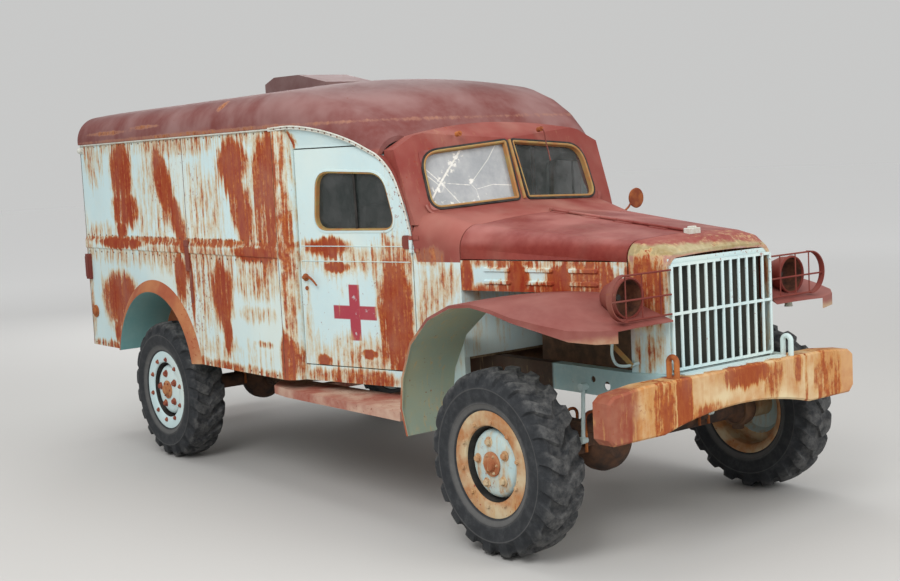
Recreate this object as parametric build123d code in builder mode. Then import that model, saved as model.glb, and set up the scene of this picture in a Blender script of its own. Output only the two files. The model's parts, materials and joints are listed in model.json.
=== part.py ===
"""Three quarter ton ambulance truck, rebuilt as separate pieces in one frame.

Millimetres. X points to the front, Y to the left, Z up. The origin lies on the floor
under the middle of the overall length.
"""

import os
from math import atan2, cos, degrees, hypot, radians, sin

from build123d import *

os.makedirs("parts", exist_ok=True)

# Chassis layout
front_axle_x = 1853.0
wheelbase = 3073.0
rear_axle_x = front_axle_x - wheelbase
track = 1645.0
bumper_face_x = 2470.0
fit = 0.3

# Tyres and wheels
tyre_radius = 410.0
tyre_width = 226.0
tread_depth = 22.0
lug_count = 20
lug_groove = 46.0
shoulder_drop = 60.0
shoulder_in = 34.0
rim_radius = 203.0
ring_radius = 236.0
rim_width = 186.0
bead_wall = 14.0
hub_radius = 62.0
spindle_radius = 28.0
spindle_fit = 0.05
disc_wall = 10.0
slot_count = 4

# Steering
kingpin_y = 690.0
ball_radius = 78.0
cup_wall = 12.0
cup_fit = 0.5

# Ladder frame
rail_top_z = 770.0
rail_height = 120.0
rail_flange = 56.0
rail_wall = 7.0
frame_half = 400.0
frame_rear_x = -2156.7
crossmember_depth = 90.0
crossmember_length = 80.0
hanger_length = 54.0
web_holes = ((118.0, 10.0, 15.0), (205.0, -12.0, 20.0))
crossmember_x = (-2115.0, -1640.0, -560.0, 330.0, 2290.0)

# Box body
box_rear_x = -2202.0
box_front_x = 223.0
box_half = 929.0
box_bottom_z = 615.0
gutter_z = 1915.0
box_wall = 45.0
roof_crown_z = 2159.0
roof_wall = 26.0
belt_low_z = 1247.0
belt_high_z = 1320.0
belt_proud = 8.0
floor_thickness = 25.0

# Cab plan: one straight taper runs from the nose to the door's rear edge
hood_front_x = 2193.0
hood_front_half = 387.0
hood_rear_x = 1313.0
cab_inset = 86.96
door_rear_x = 297.0
door_length = 755.0
door_bottom_z = 700.0
door_top_z = 1800.0
door_gap = 6.0
door_wall = 45.0
cab_wall = 40.0

# Hood and nose
hood_gap = 6.0
hood_wall = 8.0
hood_rear_crown_z = 1434.0
hood_front_crown_z = 1345.0
nose_front_x = 2373.0
nose_half = 331.0
nose_bottom_z = 770.3
nose_wall = 16.0
side_panel_low_z = 1104.0
side_panel_wall = 8.0
louvre_length = 160.0
louvre_pitch = 228.0
louvre_rows = (1145.0, 1203.0)
louvre_first_x = 1521.0

# Windscreen
screen_rake = 19.2
screen_vee = 6.1
screen_half = 563.0
screen_top_z = 1781.0
screen_bottom_z = 1470.0
screen_mid_x = 993.0
glass_wall = 6.0

# Bumper
bumper_half = 795.0
bumper_depth = 92.0
bumper_wall = 8.0

# Grille guard
bar_count = 13
bar_radius = 7.0
guard_half = 317.0
guard_low_z = 787.0
guard_high_z = 1230.0
guard_x = 2384.0

# Head lamps
lamp_y = 526.0
lamp_z = 1112.0
lamp_face_x = 2334.0
lamp_radius = 84.0
lamp_length = 150.0
lamp_wall = 5.0

# Rear wheel arches
arch_offset_x = -27.0
arch_z = 513.0
arch_radius = 493.0
arch_wall = 12.0
flare_reach = 60.0
flare_proud = 33.0
well_inner_y = 640.0

# Front fenders
fender_y = 930.0
fender_wall = 7.0
fender_seat = 0.4

# Running boards
board_top_z = 566.0
board_thickness = 44.0
board_rear_x = -60.0
board_front_x = 1226.0

# Rear end
rear_door_half = 590.0
rear_door_low_z = 660.0
rear_door_high_z = 1850.0
rear_door_wall = 40.0
step_half = 450.0
step_depth = 218.0
step_wall = 30.0
step_pivot_x = -2232.0
step_pivot_z = 395.0
step_pin_radius = 8.0
step_lug_radius = 15.0
step_lug_length = 48.0
step_lug_inset = 60.0
step_corner = 30.0
step_hinge_gap = 20.0
step_clear = 6.0
bracket_wall = 16.0
bracket_half = 38.0
bracket_root = 40.0

# Derived places
wheel_z = tyre_radius
wheel_y = track / 2
rail_low_z = rail_top_z - rail_height
floor_z = rail_top_z + floor_thickness
flare_y = box_half + flare_proud
body_taper = (box_half - cab_inset - hood_front_half) / (hood_front_x - door_rear_x)
taper_angle = degrees(atan2(body_taper, 1.0))
bracket_y = 0.7 * step_half
bracket_eye = step_hinge_gap - step_clear


def side_y(x):
    """Half width of the tapered cab and hood at a station."""
    return hood_front_half + body_taper * (hood_front_x - x)


def save(piece, label):
    """Label one finished piece and write it to its own file."""
    piece.part.label = label
    export_step(piece.part, f"parts/{label}.step")


def side_plane(side):
    """Plane of a cab side: X runs forward along the taper, Y is up, Z points outward."""
    base = (door_rear_x, side * side_y(door_rear_x), 0.0)
    along = (cos(radians(taper_angle)), -side * sin(radians(taper_angle)), 0.0)
    out = (sin(radians(taper_angle)), side * cos(radians(taper_angle)), 0.0)
    if side > 0:
        return Plane(origin=base, x_dir=(-along[0], -along[1], 0.0), z_dir=out)
    return Plane(origin=base, x_dir=along, z_dir=out)


def along_side(x):
    """Distance along the tapered side of a station at x."""
    return (x - door_rear_x) / cos(radians(taper_angle))


def side_point(along, depth):
    """Plan point on the left side, at a distance along the taper and a depth under the skin."""
    lean = radians(taper_angle)
    x = door_rear_x + along * cos(lean) - depth * sin(lean)
    return (x, side_y(door_rear_x) - along * sin(lean) - depth * cos(lean))


right_side = side_plane(-1)

# Hinges of the four doors: a pin between two fixed knuckles, the door's knuckle between them
pin_radius = 5.0
knuckle_radius = 9.0
hinge_fit = 0.05
hinge_leaf = 45.0
leaf_thick = 5.0
hinge_half = 40.0
cab_hinge_out = 11.0
cab_hinge_x, cab_hinge_y = side_point(door_length + 0.4 * door_gap, -cab_hinge_out)
leaf_bite = 0.2
cab_hinge_levels = (820.0, 1320.0)
rear_hinge_x = box_rear_x - 10.0
rear_hinge_y = rear_door_half + 4.0
rear_hinge_out = 10.0
rear_hinge_levels = (860.0, 1255.0, 1650.0)
cab_hinge = Plane(
    origin=(cab_hinge_x, -cab_hinge_y, 0),
    x_dir=(cos(radians(taper_angle)), sin(radians(taper_angle)), 0),
    z_dir=(0, 0, 1),
)
rear_hinge = Plane(origin=(rear_hinge_x, -rear_hinge_y, 0), x_dir=(0, -1, 0), z_dir=(0, 0, 1))


def hinge_fixed(plane, out, levels):
    """Pins, end knuckles and leaves on the body; X points off the door and Y to the skin."""
    with BuildPart() as fixed:
        for level in levels:
            with BuildSketch(plane.offset(level - hinge_half)):
                Circle(pin_radius)
            extrude(amount=2 * hinge_half)
            for low in (level - hinge_half, level + hinge_half / 2 + 1):
                with BuildSketch(plane.offset(low)):
                    Circle(knuckle_radius)
                    with Locations((hinge_leaf / 2, out - leaf_thick / 2 + leaf_bite)):
                        Rectangle(hinge_leaf, leaf_thick)
                    with Locations((pin_radius / 2, knuckle_radius / 2)):
                        Rectangle(pin_radius, knuckle_radius)
                extrude(amount=hinge_half / 2 - 1)
    return fixed.part


def hinge_moving(plane, out, levels):
    """Middle knuckles and leaves on the door, in the same plane as the fixed ones."""
    with BuildPart() as moving:
        for level in levels:
            with BuildSketch(plane.offset(level - hinge_half / 2)):
                Circle(knuckle_radius)
                with Locations((-hinge_leaf / 2, out - leaf_thick / 2 + leaf_bite)):
                    Rectangle(hinge_leaf, leaf_thick)
                with Locations((-pin_radius / 2, knuckle_radius / 2)):
                    Rectangle(pin_radius, knuckle_radius)
                Circle(pin_radius + hinge_fit, mode=Mode.SUBTRACT)
            extrude(amount=hinge_half)
    return moving.part


# Frame: two channel rails, cross members, spring hangers and the step's brackets
spring_half_length = 480.0
spring_width = 46.0
spring_eye_z = 600.0
eye_radius = 22.0
spring_y = frame_half - rail_flange / 2
hanger_x = [
    axle + end * spring_half_length
    for axle in (front_axle_x, rear_axle_x)
    for end in (-1, 1)
]
rail_front_x = bumper_face_x - bumper_depth

with BuildPart() as frame_ladder:
    with BuildSketch(Plane.YZ.offset(frame_rear_x)):
        with Locations((-frame_half + rail_flange / 2, rail_top_z - rail_height / 2)):
            Rectangle(rail_flange, rail_height)
        with Locations((-frame_half + rail_flange / 2 + rail_wall, rail_top_z - rail_height / 2)):
            Rectangle(rail_flange, rail_height - 2 * rail_wall, mode=Mode.SUBTRACT)
    extrude(amount=rail_front_x - frame_rear_x)
    with BuildSketch(Plane.XY.offset(spring_eye_z + eye_radius)):
        for x in hanger_x:
            with Locations((x, -spring_y)):
                Rectangle(hanger_length, spring_width)
    extrude(amount=rail_low_z - spring_eye_z - eye_radius + rail_wall)
    web_hole_z = rail_top_z - rail_height / 2
    with BuildSketch(Plane.XZ.offset(frame_half)):
        for ahead, rise, radius in web_holes:
            with Locations((front_axle_x + ahead, web_hole_z + rise)):
                Circle(radius)
    extrude(amount=-2 * rail_wall, mode=Mode.SUBTRACT)
    mirror(about=Plane.XZ)
    for x in crossmember_x:
        with BuildSketch(Plane.XZ.offset(-frame_half + rail_wall)):
            with Locations((x, rail_top_z - crossmember_depth / 2 - rail_wall)):
                Rectangle(crossmember_length, crossmember_depth)
            with Locations((x, rail_top_z - crossmember_depth / 2 - 2 * rail_wall)):
                Rectangle(crossmember_length - 2 * rail_wall, crossmember_depth, mode=Mode.SUBTRACT)
        extrude(amount=2 * (frame_half - rail_wall))
    upright_x = step_pivot_x + step_wall / 2 + step_clear
    for side in (-1, 1):
        with BuildSketch(Plane.XZ.offset(side * bracket_y - bracket_wall / 2)):
            with BuildLine():
                Polyline(
                    (crossmember_x[0] - bracket_half, rail_low_z + bracket_root),
                    (crossmember_x[0] - bracket_half, rail_low_z - bracket_root),
                    (upright_x, step_pivot_z + step_wall),
                    (upright_x, step_pivot_z + bracket_eye - step_clear / 2),
                    (step_pivot_x, step_pivot_z + bracket_eye),
                    (step_pivot_x - bracket_eye, step_pivot_z),
                    (step_pivot_x - bracket_eye, step_pivot_z - bracket_eye),
                    (upright_x + bracket_eye, step_pivot_z - bracket_eye),
                    (crossmember_x[0] + bracket_half, rail_low_z - bracket_root),
                    (crossmember_x[0] + bracket_half, rail_low_z + bracket_root),
                    close=True,
                )
            make_face()
        extrude(amount=bracket_wall)
    with BuildSketch(Plane.XZ.offset(-bracket_y)):
        with Locations((step_pivot_x, step_pivot_z)):
            Circle(step_pin_radius)
    extrude(amount=2 * bracket_y)
save(frame_ladder, "frame_ladder")

# Front bumper: deep pressed channel with an arched lower edge and two tow hooks
bumper_top_z = 766.0
bumper_low_z = 545.0
bumper_arch_z = 605.0
arch_half = 470.0
hook_y = 371.0
hook_rod = 12.0
hook_top_z = 866.0


def bumper_outline(inset):
    """Front view of the bumper, drawn inset by a wall."""
    with BuildSketch() as outline:
        with BuildLine():
            Polyline(
                (arch_half, bumper_low_z + inset),
                (bumper_half - 30 - inset / 2, bumper_low_z + inset),
                (bumper_half - inset, bumper_low_z + 30 + inset / 2),
                (bumper_half - inset, bumper_top_z - 44 - inset / 2),
                (bumper_half - 35 - inset / 2, bumper_top_z - 18 - inset),
                (bumper_half - 210, bumper_top_z - inset),
                (-bumper_half + 210, bumper_top_z - inset),
                (-bumper_half + 35 + inset / 2, bumper_top_z - 18 - inset),
                (-bumper_half + inset, bumper_top_z - 44 - inset / 2),
                (-bumper_half + inset, bumper_low_z + 30 + inset / 2),
                (-bumper_half + 30 + inset / 2, bumper_low_z + inset),
                (-arch_half, bumper_low_z + inset),
            )
            ThreePointArc(
                (-arch_half, bumper_low_z + inset),
                (0, bumper_arch_z + inset),
                (arch_half, bumper_low_z + inset),
            )
        make_face()
    return outline.sketch


with BuildPart() as front_bumper:
    with BuildSketch(Plane.YZ.offset(bumper_face_x - bumper_depth)):
        add(bumper_outline(0))
    extrude(amount=bumper_depth)
    front_edges = front_bumper.faces().sort_by(Axis.X)[-1].edges()
    chamfer(front_edges, length=9)
    with BuildSketch(Plane.YZ.offset(bumper_face_x - bumper_depth)):
        add(bumper_outline(bumper_wall))
    extrude(amount=bumper_depth - bumper_wall, mode=Mode.SUBTRACT)
    hook_reach = 22.0
    hook_x = bumper_face_x - bumper_depth / 2
    for side in (-1, 1):
        with BuildLine() as hook_path:
            rise = hook_top_z - hook_rod - hook_reach
            Line(
                (hook_x - hook_reach, side * hook_y, bumper_top_z - bumper_wall / 2),
                (hook_x - hook_reach, side * hook_y, rise),
            )
            ThreePointArc(
                (hook_x - hook_reach, side * hook_y, rise),
                (hook_x, side * hook_y, rise + hook_reach),
                (hook_x + hook_reach, side * hook_y, rise),
            )
            Line(
                (hook_x + hook_reach, side * hook_y, rise),
                (hook_x + hook_reach, side * hook_y, bumper_top_z - bumper_wall / 2),
            )
        with BuildSketch(Plane.XY.offset(bumper_top_z - bumper_wall / 2)):
            with Locations((hook_x - hook_reach, side * hook_y)):
                Circle(hook_rod)
        sweep(path=hook_path.line)
save(front_bumper, "front_bumper")

# Axles: tube, banjo bowl with its pinion nose, spring pads
axle_tube_radius = 45.0
bowl_radius = 145.0
bowl_y = -240.0
pad_z = 60.0


def axle_core(axle_x, tube_end, pinion):
    """Tube, bowl, pinion nose and spring pads of one axle."""
    with BuildPart() as core:
        with BuildSketch(Plane.XZ.offset(-tube_end)):
            with Locations((axle_x, wheel_z)):
                Circle(axle_tube_radius)
        extrude(amount=2 * tube_end)
        with BuildSketch(Plane.XY.offset(wheel_z)):
            with BuildLine():
                Polyline(
                    (axle_x - 105, bowl_y),
                    (axle_x - 105, bowl_y + 70),
                    (axle_x - 60, bowl_y + 128),
                    (axle_x - 20, bowl_y + bowl_radius),
                    (axle_x + 20, bowl_y + bowl_radius),
                    (axle_x + 60, bowl_y + 128),
                    (axle_x + 105, bowl_y + 70),
                    (axle_x + 105, bowl_y),
                    close=True,
                )
            make_face()
        revolve(axis=Axis((axle_x, bowl_y, wheel_z), (1, 0, 0)))
        with BuildSketch(Plane.YZ.offset(axle_x)):
            with Locations((bowl_y, wheel_z)):
                Circle(52)
        extrude(amount=pinion * 190)
        for side in (-1, 1):
            with BuildSketch(Plane.XY.offset(wheel_z)):
                with Locations((axle_x, side * spring_y)):
                    Rectangle(130, 64)
            extrude(amount=pad_z)
    return core.part


with BuildPart() as front_axle:
    add(axle_core(front_axle_x, kingpin_y - 30, -1))
    for side in (-1, 1):
        with Locations((front_axle_x, side * kingpin_y, wheel_z)):
            Sphere(ball_radius)
        with BuildSketch(Plane.XZ.offset(-side * (kingpin_y + 26))):
            with Locations((front_axle_x, wheel_z)):
                Circle(2 * ball_radius)
        extrude(amount=-side * 2 * ball_radius, mode=Mode.SUBTRACT)
save(front_axle, "front_axle")

# Wheel: rim, bolted ring, dished disc with four slots, hub and cap
half_rim = rim_width / 2
hub_inner = 36.0
hub_outer = half_rim + 12.0


def wheel_profile():
    """Half section of rim, disc and hub: X is the radius, Y the offset outward."""
    with BuildSketch() as outline:
        with BuildLine():
            Polyline(
                (spindle_radius + spindle_fit, -hub_inner),
                (hub_radius, -hub_inner),
                (hub_radius, half_rim - 62),
                (hub_radius + 42, half_rim - 62),
                (hub_radius + 66, half_rim - 40),
                (rim_radius - bead_wall - 2, half_rim - 22),
                (rim_radius - bead_wall, -half_rim + 10),
                (ring_radius - 12, -half_rim),
                (ring_radius - 4, -half_rim + 6),
                (rim_radius, -half_rim + 20),
                (rim_radius, half_rim - 18),
                (ring_radius, half_rim - 12),
                (ring_radius, half_rim),
                (rim_radius - bead_wall - 40, half_rim - 4),
                (hub_radius + 62, half_rim - 28),
                (hub_radius + 36, half_rim - 62 + disc_wall),
                (hub_radius + 8, half_rim - 62 + disc_wall),
                (hub_radius - 6, half_rim + 4),
                (hub_radius - 22, hub_outer),
                (0, hub_outer),
                (0, hub_outer - 24),
                (spindle_radius + spindle_fit, hub_outer - 24),
                close=True,
            )
        make_face()
    return outline.sketch


def build_wheel(axle_x, side):
    """One wheel at its place."""
    outward = Plane(
        origin=(axle_x, side * wheel_y, wheel_z), x_dir=(1, 0, 0), z_dir=(0, 0, side)
    )
    with BuildPart() as wheel:
        with BuildSketch(outward):
            add(wheel_profile())
        revolve(axis=Axis((axle_x, side * wheel_y, wheel_z), (0, 1, 0)))
        face = Plane(
            origin=(axle_x, side * (wheel_y + half_rim - 70), wheel_z),
            x_dir=(1, 0, 0),
            z_dir=(0, side, 0),
        )
        with BuildSketch(face):
            with PolarLocations(hub_radius + 56, slot_count, start_angle=45):
                SlotOverall(66, 17, rotation=90)
        extrude(amount=68, mode=Mode.SUBTRACT)
    return wheel


# Tyre: a many-sided casing; each facet carries a bar or a groove, staggered from side to side
half_tyre = tyre_width / 2
tyre_sides = 2 * lug_count
bead_radius = rim_radius + fit
seat_radius = ring_radius + fit
groove_start = 12.0

# Columns: offset outward, radius to the middle of a facet
casing_sections = (
    (-half_tyre, tyre_radius - shoulder_drop),
    (-half_tyre + shoulder_in, tyre_radius),
    (half_tyre - shoulder_in, tyre_radius),
    (half_tyre, tyre_radius - shoulder_drop),
)
bore_sections = (
    (-half_tyre, ring_radius + 50),
    (-half_rim + 22, bead_radius),
    (half_rim - 20, bead_radius),
    (half_rim - 14, seat_radius),
    (half_rim, seat_radius),
    (half_tyre, ring_radius + 50),
)


def tyre_loft(axle_x, side, sections):
    """Many-sided body through sections square to the axle, each with a facet on the floor."""
    with BuildPart() as body:
        for offset, radius in sections:
            middle = (axle_x, side * (wheel_y + offset), wheel_z)
            with BuildSketch(Plane(origin=middle, x_dir=(1, 0, 0), z_dir=(0, 1, 0))):
                RegularPolygon(radius, tyre_sides, major_radius=False, rotation=180 / tyre_sides)
        loft(ruled=True)
    return body.part


def build_tyre(axle_x, side):
    """One tyre at its place, with its grooves cut from both shoulders."""
    length = half_tyre - groove_start + 1
    with BuildPart() as tyre:
        add(tyre_loft(axle_x, side, casing_sections))
        add(tyre_loft(axle_x, side, bore_sections), mode=Mode.SUBTRACT)
        for hand in (-1, 1):
            middle = (axle_x, side * wheel_y + hand * (groove_start + length / 2), wheel_z)
            turn = 360 / tyre_sides if hand > 0 else 0.0
            with Locations(Plane(origin=middle, x_dir=(1, 0, 0), z_dir=(0, 1, 0))):
                with PolarLocations(tyre_radius, lug_count, start_angle=turn):
                    Box(2 * tread_depth, lug_groove, length, mode=Mode.SUBTRACT)
    return tyre


wheel_places = {
    "front_right": (front_axle_x, -1),
    "front_left": (front_axle_x, 1),
    "rear_right": (rear_axle_x, -1),
    "rear_left": (rear_axle_x, 1),
}
for corner, (axle_x, side) in wheel_places.items():
    save(build_wheel(axle_x, side), f"wheel_{corner}")
    save(build_tyre(axle_x, side), f"tyre_{corner}")

# Rear axle: its shafts run out to the hubs
shaft_end = wheel_y + hub_outer - 30.0
with BuildPart() as rear_axle:
    add(axle_core(rear_axle_x, wheel_y - hub_inner - 6, 1))
    with BuildSketch(Plane.XZ.offset(-shaft_end)):
        with Locations((rear_axle_x, wheel_z)):
            Circle(spindle_radius)
    extrude(amount=2 * shaft_end)
save(rear_axle, "rear_axle")

# Steering knuckles: cup over the axle's ball, trunnion caps, spindle and arm
for side, hand in ((-1, "right"), (1, "left")):
    with BuildPart() as knuckle:
        with Locations((front_axle_x, side * kingpin_y, wheel_z)):
            Sphere(ball_radius + cup_fit + cup_wall)
            Cylinder(30, 2 * (ball_radius + cup_wall + 12))
            Sphere(ball_radius + cup_fit, mode=Mode.SUBTRACT)
        with BuildSketch(Plane.XZ.offset(-side * (kingpin_y - 34))):
            with Locations((front_axle_x, wheel_z)):
                Circle(3 * ball_radius)
        extrude(amount=side * 3 * ball_radius, mode=Mode.SUBTRACT)
        cup_end = kingpin_y + ball_radius + cup_fit + 2
        with BuildSketch(Plane.XZ.offset(-side * cup_end)):
            with Locations((front_axle_x, wheel_z)):
                Circle(spindle_radius)
        extrude(amount=-side * (shaft_end - cup_end))
        with BuildSketch(Plane.XY.offset(wheel_z - 12)):
            with BuildLine():
                Polyline(
                    (front_axle_x - ball_radius - 4, side * (kingpin_y + 10)),
                    (front_axle_x - 190, side * (kingpin_y - 20)),
                    (front_axle_x - 190, side * (kingpin_y + 14)),
                    (front_axle_x - ball_radius - 2, side * (kingpin_y + 40)),
                    close=True,
                )
            make_face()
        extrude(amount=24)
    save(knuckle, f"knuckle_{hand}")

# Leaf springs: four packs of stepped leaves with rolled eyes
leaf_wall = 9.0
leaf_steps = (1.0, 0.86, 0.68, 0.50, 0.32)
spring_top = wheel_z + pad_z + fit
with BuildPart() as leaf_springs:
    for axle_x in (front_axle_x, rear_axle_x):
        with BuildSketch(Plane.XZ.offset(spring_y - spring_width / 2)):
            for step, share in enumerate(leaf_steps):
                reach = share * (spring_half_length - 4)
                low = spring_top + (len(leaf_steps) - 1 - step) * leaf_wall
                lift = (spring_eye_z - spring_top - 40) * share**2
                with BuildLine():
                    ThreePointArc(
                        (axle_x - reach, low + lift), (axle_x, low), (axle_x + reach, low + lift)
                    )
                    Line((axle_x + reach, low + lift), (axle_x + reach, low + lift + leaf_wall))
                    ThreePointArc(
                        (axle_x + reach, low + lift + leaf_wall),
                        (axle_x, low + leaf_wall),
                        (axle_x - reach, low + lift + leaf_wall),
                    )
                    Line((axle_x - reach, low + lift + leaf_wall), (axle_x - reach, low + lift))
                make_face()
            for end in (-1, 1):
                with Locations((axle_x + end * spring_half_length, spring_eye_z)):
                    Circle(eye_radius - fit)
        extrude(amount=spring_width)
    mirror(about=Plane.XZ)
save(leaf_springs, "leaf_springs")

# Engine and driveline
engine_rear_x = 1370.0
engine_front_x = 2110.0
engine_half = 160.0
engine_low_z = 640.0
engine_high_z = 1200.0
engine_corner = 30.0
mount_height = 30.0
mount_width = 70.0
mount_behind = 120.0
with BuildPart() as engine_block:
    with BuildSketch(Plane.XY.offset(engine_low_z)):
        with Locations(((engine_rear_x + engine_front_x) / 2, 0)):
            Rectangle(engine_front_x - engine_rear_x, 2 * engine_half)
    extrude(amount=engine_high_z - engine_low_z)
    chamfer(engine_block.edges().filter_by(Axis.X), length=engine_corner)
    with BuildSketch(Plane.XY.offset(rail_low_z + mount_height + 10)):
        with Locations((engine_rear_x + mount_behind, 0)):
            Rectangle(mount_width, 2 * (frame_half - rail_wall - fit))
    extrude(amount=mount_height)
save(engine_block, "engine_block")

transfer_x = crossmember_x[3] + 160.0
transfer_length = 200.0
transfer_height = 190.0
transfer_corner = 60.0
transfer_z = 640.0
gearbox_z = 655.0
gearbox_radius = 98.0
shaft_radius = 32.0
shaft_start_z = 600.0
flange_radius = 46.0
flange_length = 44.0
with BuildPart() as driveline:
    with BuildSketch(Plane.YZ.offset(engine_rear_x - fit)):
        with Locations((0, gearbox_z)):
            Circle(gearbox_radius)
    extrude(amount=-(engine_rear_x - transfer_x - 60))
    with BuildSketch(Plane.YZ.offset(transfer_x)):
        with Locations((bowl_y / 2, transfer_z)):
            RectangleRounded(transfer_height - 10 - bowl_y, transfer_height, transfer_corner)
    extrude(amount=transfer_length)
    for axle_x, end in ((front_axle_x, -1), (rear_axle_x, 1)):
        start_x = transfer_x + (transfer_length if end < 0 else 0)
        start = Vector(start_x, bowl_y, shaft_start_z)
        stop = Vector(axle_x + end * (190 + fit), bowl_y, wheel_z)
        run = stop - start
        with BuildSketch(Plane(origin=start, z_dir=run.normalized())):
            Circle(shaft_radius)
        extrude(amount=run.length - 30)
        with BuildSketch(Plane.YZ.offset(stop.X)):
            with Locations((bowl_y, wheel_z)):
                Circle(flange_radius)
        extrude(amount=end * flange_length)
save(driveline, "driveline")

tank_rear_x = -2070.0
tank_front_x = -1690.0
tank_y = -120.0
tank_width = 400.0
tank_low_z = 500.0
tank_corner = 40.0
tank_strap = 50.0
with BuildPart() as fuel_tank:
    with BuildSketch(Plane.XY.offset(tank_low_z)):
        with Locations(((tank_rear_x + tank_front_x) / 2, tank_y)):
            RectangleRounded(tank_front_x - tank_rear_x, tank_width, tank_corner)
    extrude(amount=rail_low_z - tank_low_z - fit)
    with BuildSketch(Plane.XY.offset(rail_low_z - 10)):
        with Locations((crossmember_x[0] + 45, tank_y), (crossmember_x[1] - 45, tank_y)):
            Rectangle(tank_strap, 0.75 * tank_width)
    extrude(amount=rail_height - rail_wall - crossmember_depth + 10 - fit)
save(fuel_tank, "fuel_tank")

muffler_z = 556.0
muffler_y = 235.0
muffler_x = -350.0
muffler_length = 560.0
muffler_radius = 66.0
pipe_radius = 24.0
pipe_rear_x = -2130.0
pipe_front_x = 1250.0
pipe_strap = 76.0
strap_wall = 20.0
with BuildPart() as exhaust_pipe:
    with BuildSketch(Plane.YZ.offset(muffler_x)):
        with Locations((muffler_y, muffler_z)):
            Circle(muffler_radius)
    extrude(amount=muffler_length)
    with BuildSketch(Plane.YZ.offset(pipe_rear_x)):
        with Locations((muffler_y, muffler_z)):
            Circle(pipe_radius)
    extrude(amount=pipe_front_x - pipe_rear_x)
    with BuildSketch(Plane.XY.offset(muffler_z)):
        for x in (crossmember_x[2], crossmember_x[3]):
            with Locations((x, muffler_y)):
                Rectangle(pipe_strap, strap_wall)
    extrude(amount=rail_top_z - rail_wall - crossmember_depth - fit - muffler_z)
save(exhaust_pipe, "exhaust_pipe")

# Floor: one deck from the rear doors to the toe board, notched over the rear wheels
arch_x = rear_axle_x + arch_offset_x
well_reach = arch_radius + arch_wall + fit
box_inner = box_half - box_wall
toe_x = hood_rear_x - 20.0
pillar_step = 4.0
floor_inset = door_wall + 2 * door_gap
with BuildPart() as body_floor:
    with BuildSketch(Plane.XY.offset(rail_top_z)):
        with BuildLine():
            Polyline(
                (box_rear_x + box_wall, box_inner),
                (box_front_x - pillar_step, box_inner),
                (box_front_x - pillar_step, side_y(door_rear_x) - floor_inset),
                (door_rear_x, side_y(door_rear_x) - floor_inset),
                (toe_x, side_y(toe_x) - floor_inset),
                (toe_x, -side_y(toe_x) + floor_inset),
                (door_rear_x, -side_y(door_rear_x) + floor_inset),
                (box_front_x - pillar_step, -side_y(door_rear_x) + floor_inset),
                (box_front_x - pillar_step, -box_inner),
                (box_rear_x + box_wall, -box_inner),
                close=True,
            )
        make_face()
        for side in (-1, 1):
            with Locations((arch_x, side * (well_inner_y + box_half) / 2)):
                Rectangle(2 * well_reach, box_half - well_inner_y, mode=Mode.SUBTRACT)
    extrude(amount=floor_thickness)
save(body_floor, "body_floor")


# Roof sections: half width, edge height, shoulder point and crown height by station
def roof_section(half, edge_z, shoulder_y, shoulder_z, crown_z, inset):
    """Closed roof section: side arcs up to the shoulders and a flat crown arc."""
    w = half - inset
    sy = shoulder_y - inset * 0.5
    sz = shoulder_z - inset
    cz = crown_z - inset
    low = edge_z - (2 * inset if inset else 0)
    mid_y = sy + (w - sy) * 0.76
    mid_z = edge_z + (sz - edge_z) * 0.66
    with BuildSketch() as outline:
        with BuildLine():
            Line((-w, low), (w, low))
            if inset:
                Line((w, low), (w, edge_z))
            ThreePointArc((w, edge_z), (mid_y, mid_z), (sy, sz))
            ThreePointArc((sy, sz), (0, cz), (-sy, sz))
            ThreePointArc((-sy, sz), (-mid_y, mid_z), (-w, edge_z))
            if inset:
                Line((-w, edge_z), (-w, low))
        make_face()
    return outline.sketch


# Columns: x, half width, edge z, shoulder y, shoulder z, crown z
roof_stations = (
    (box_rear_x - 14, box_half + 4, gutter_z, 800, roof_crown_z - 70, roof_crown_z - 6),
    (box_front_x, box_half + 4, gutter_z, 800, roof_crown_z - 54, roof_crown_z),
    (331, side_y(331) + 46.12, 1920, 745, 2088, 2148),
    (543, side_y(543) + 29.0, 1885, 660, 2030, 2108),
    (700, side_y(700) + 18.68, 1833, 610, 1958, 2045),
    (800, side_y(800) + 9.68, 1783, 572, 1885, 1967),
    (853, side_y(853) + 5.4, 1753, 545, 1838, 1893),
)
vent_half = 170.0
vent_outline = ((-1090, -16), (-1090, 60), (-980, 96), (-700, 92), (-400, 30), (-400, -16))
with BuildPart() as roof:
    for x, half, edge_z, sy, sz, cz in roof_stations:
        with BuildSketch(Plane.YZ.offset(x)):
            add(roof_section(half, edge_z, sy, sz, cz, 0))
    loft(ruled=True)
    inner_stations = (
        (box_rear_x + 30,) + roof_stations[0][1:],
        *roof_stations[1:-1],
        (roof_stations[-1][0] + 1,) + roof_stations[-1][1:],
    )
    for x, half, edge_z, sy, sz, cz in inner_stations:
        with BuildSketch(Plane.YZ.offset(x)):
            add(roof_section(half, edge_z, sy, sz, cz, roof_wall))
    loft(ruled=True, mode=Mode.SUBTRACT)
    with BuildSketch(Plane.XZ.offset(-vent_half)):
        with BuildLine():
            Polyline(*[(x, roof_crown_z + rise) for x, rise in vent_outline], close=True)
        make_face()
    extrude(amount=2 * vent_half)
save(roof, "roof")

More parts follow.
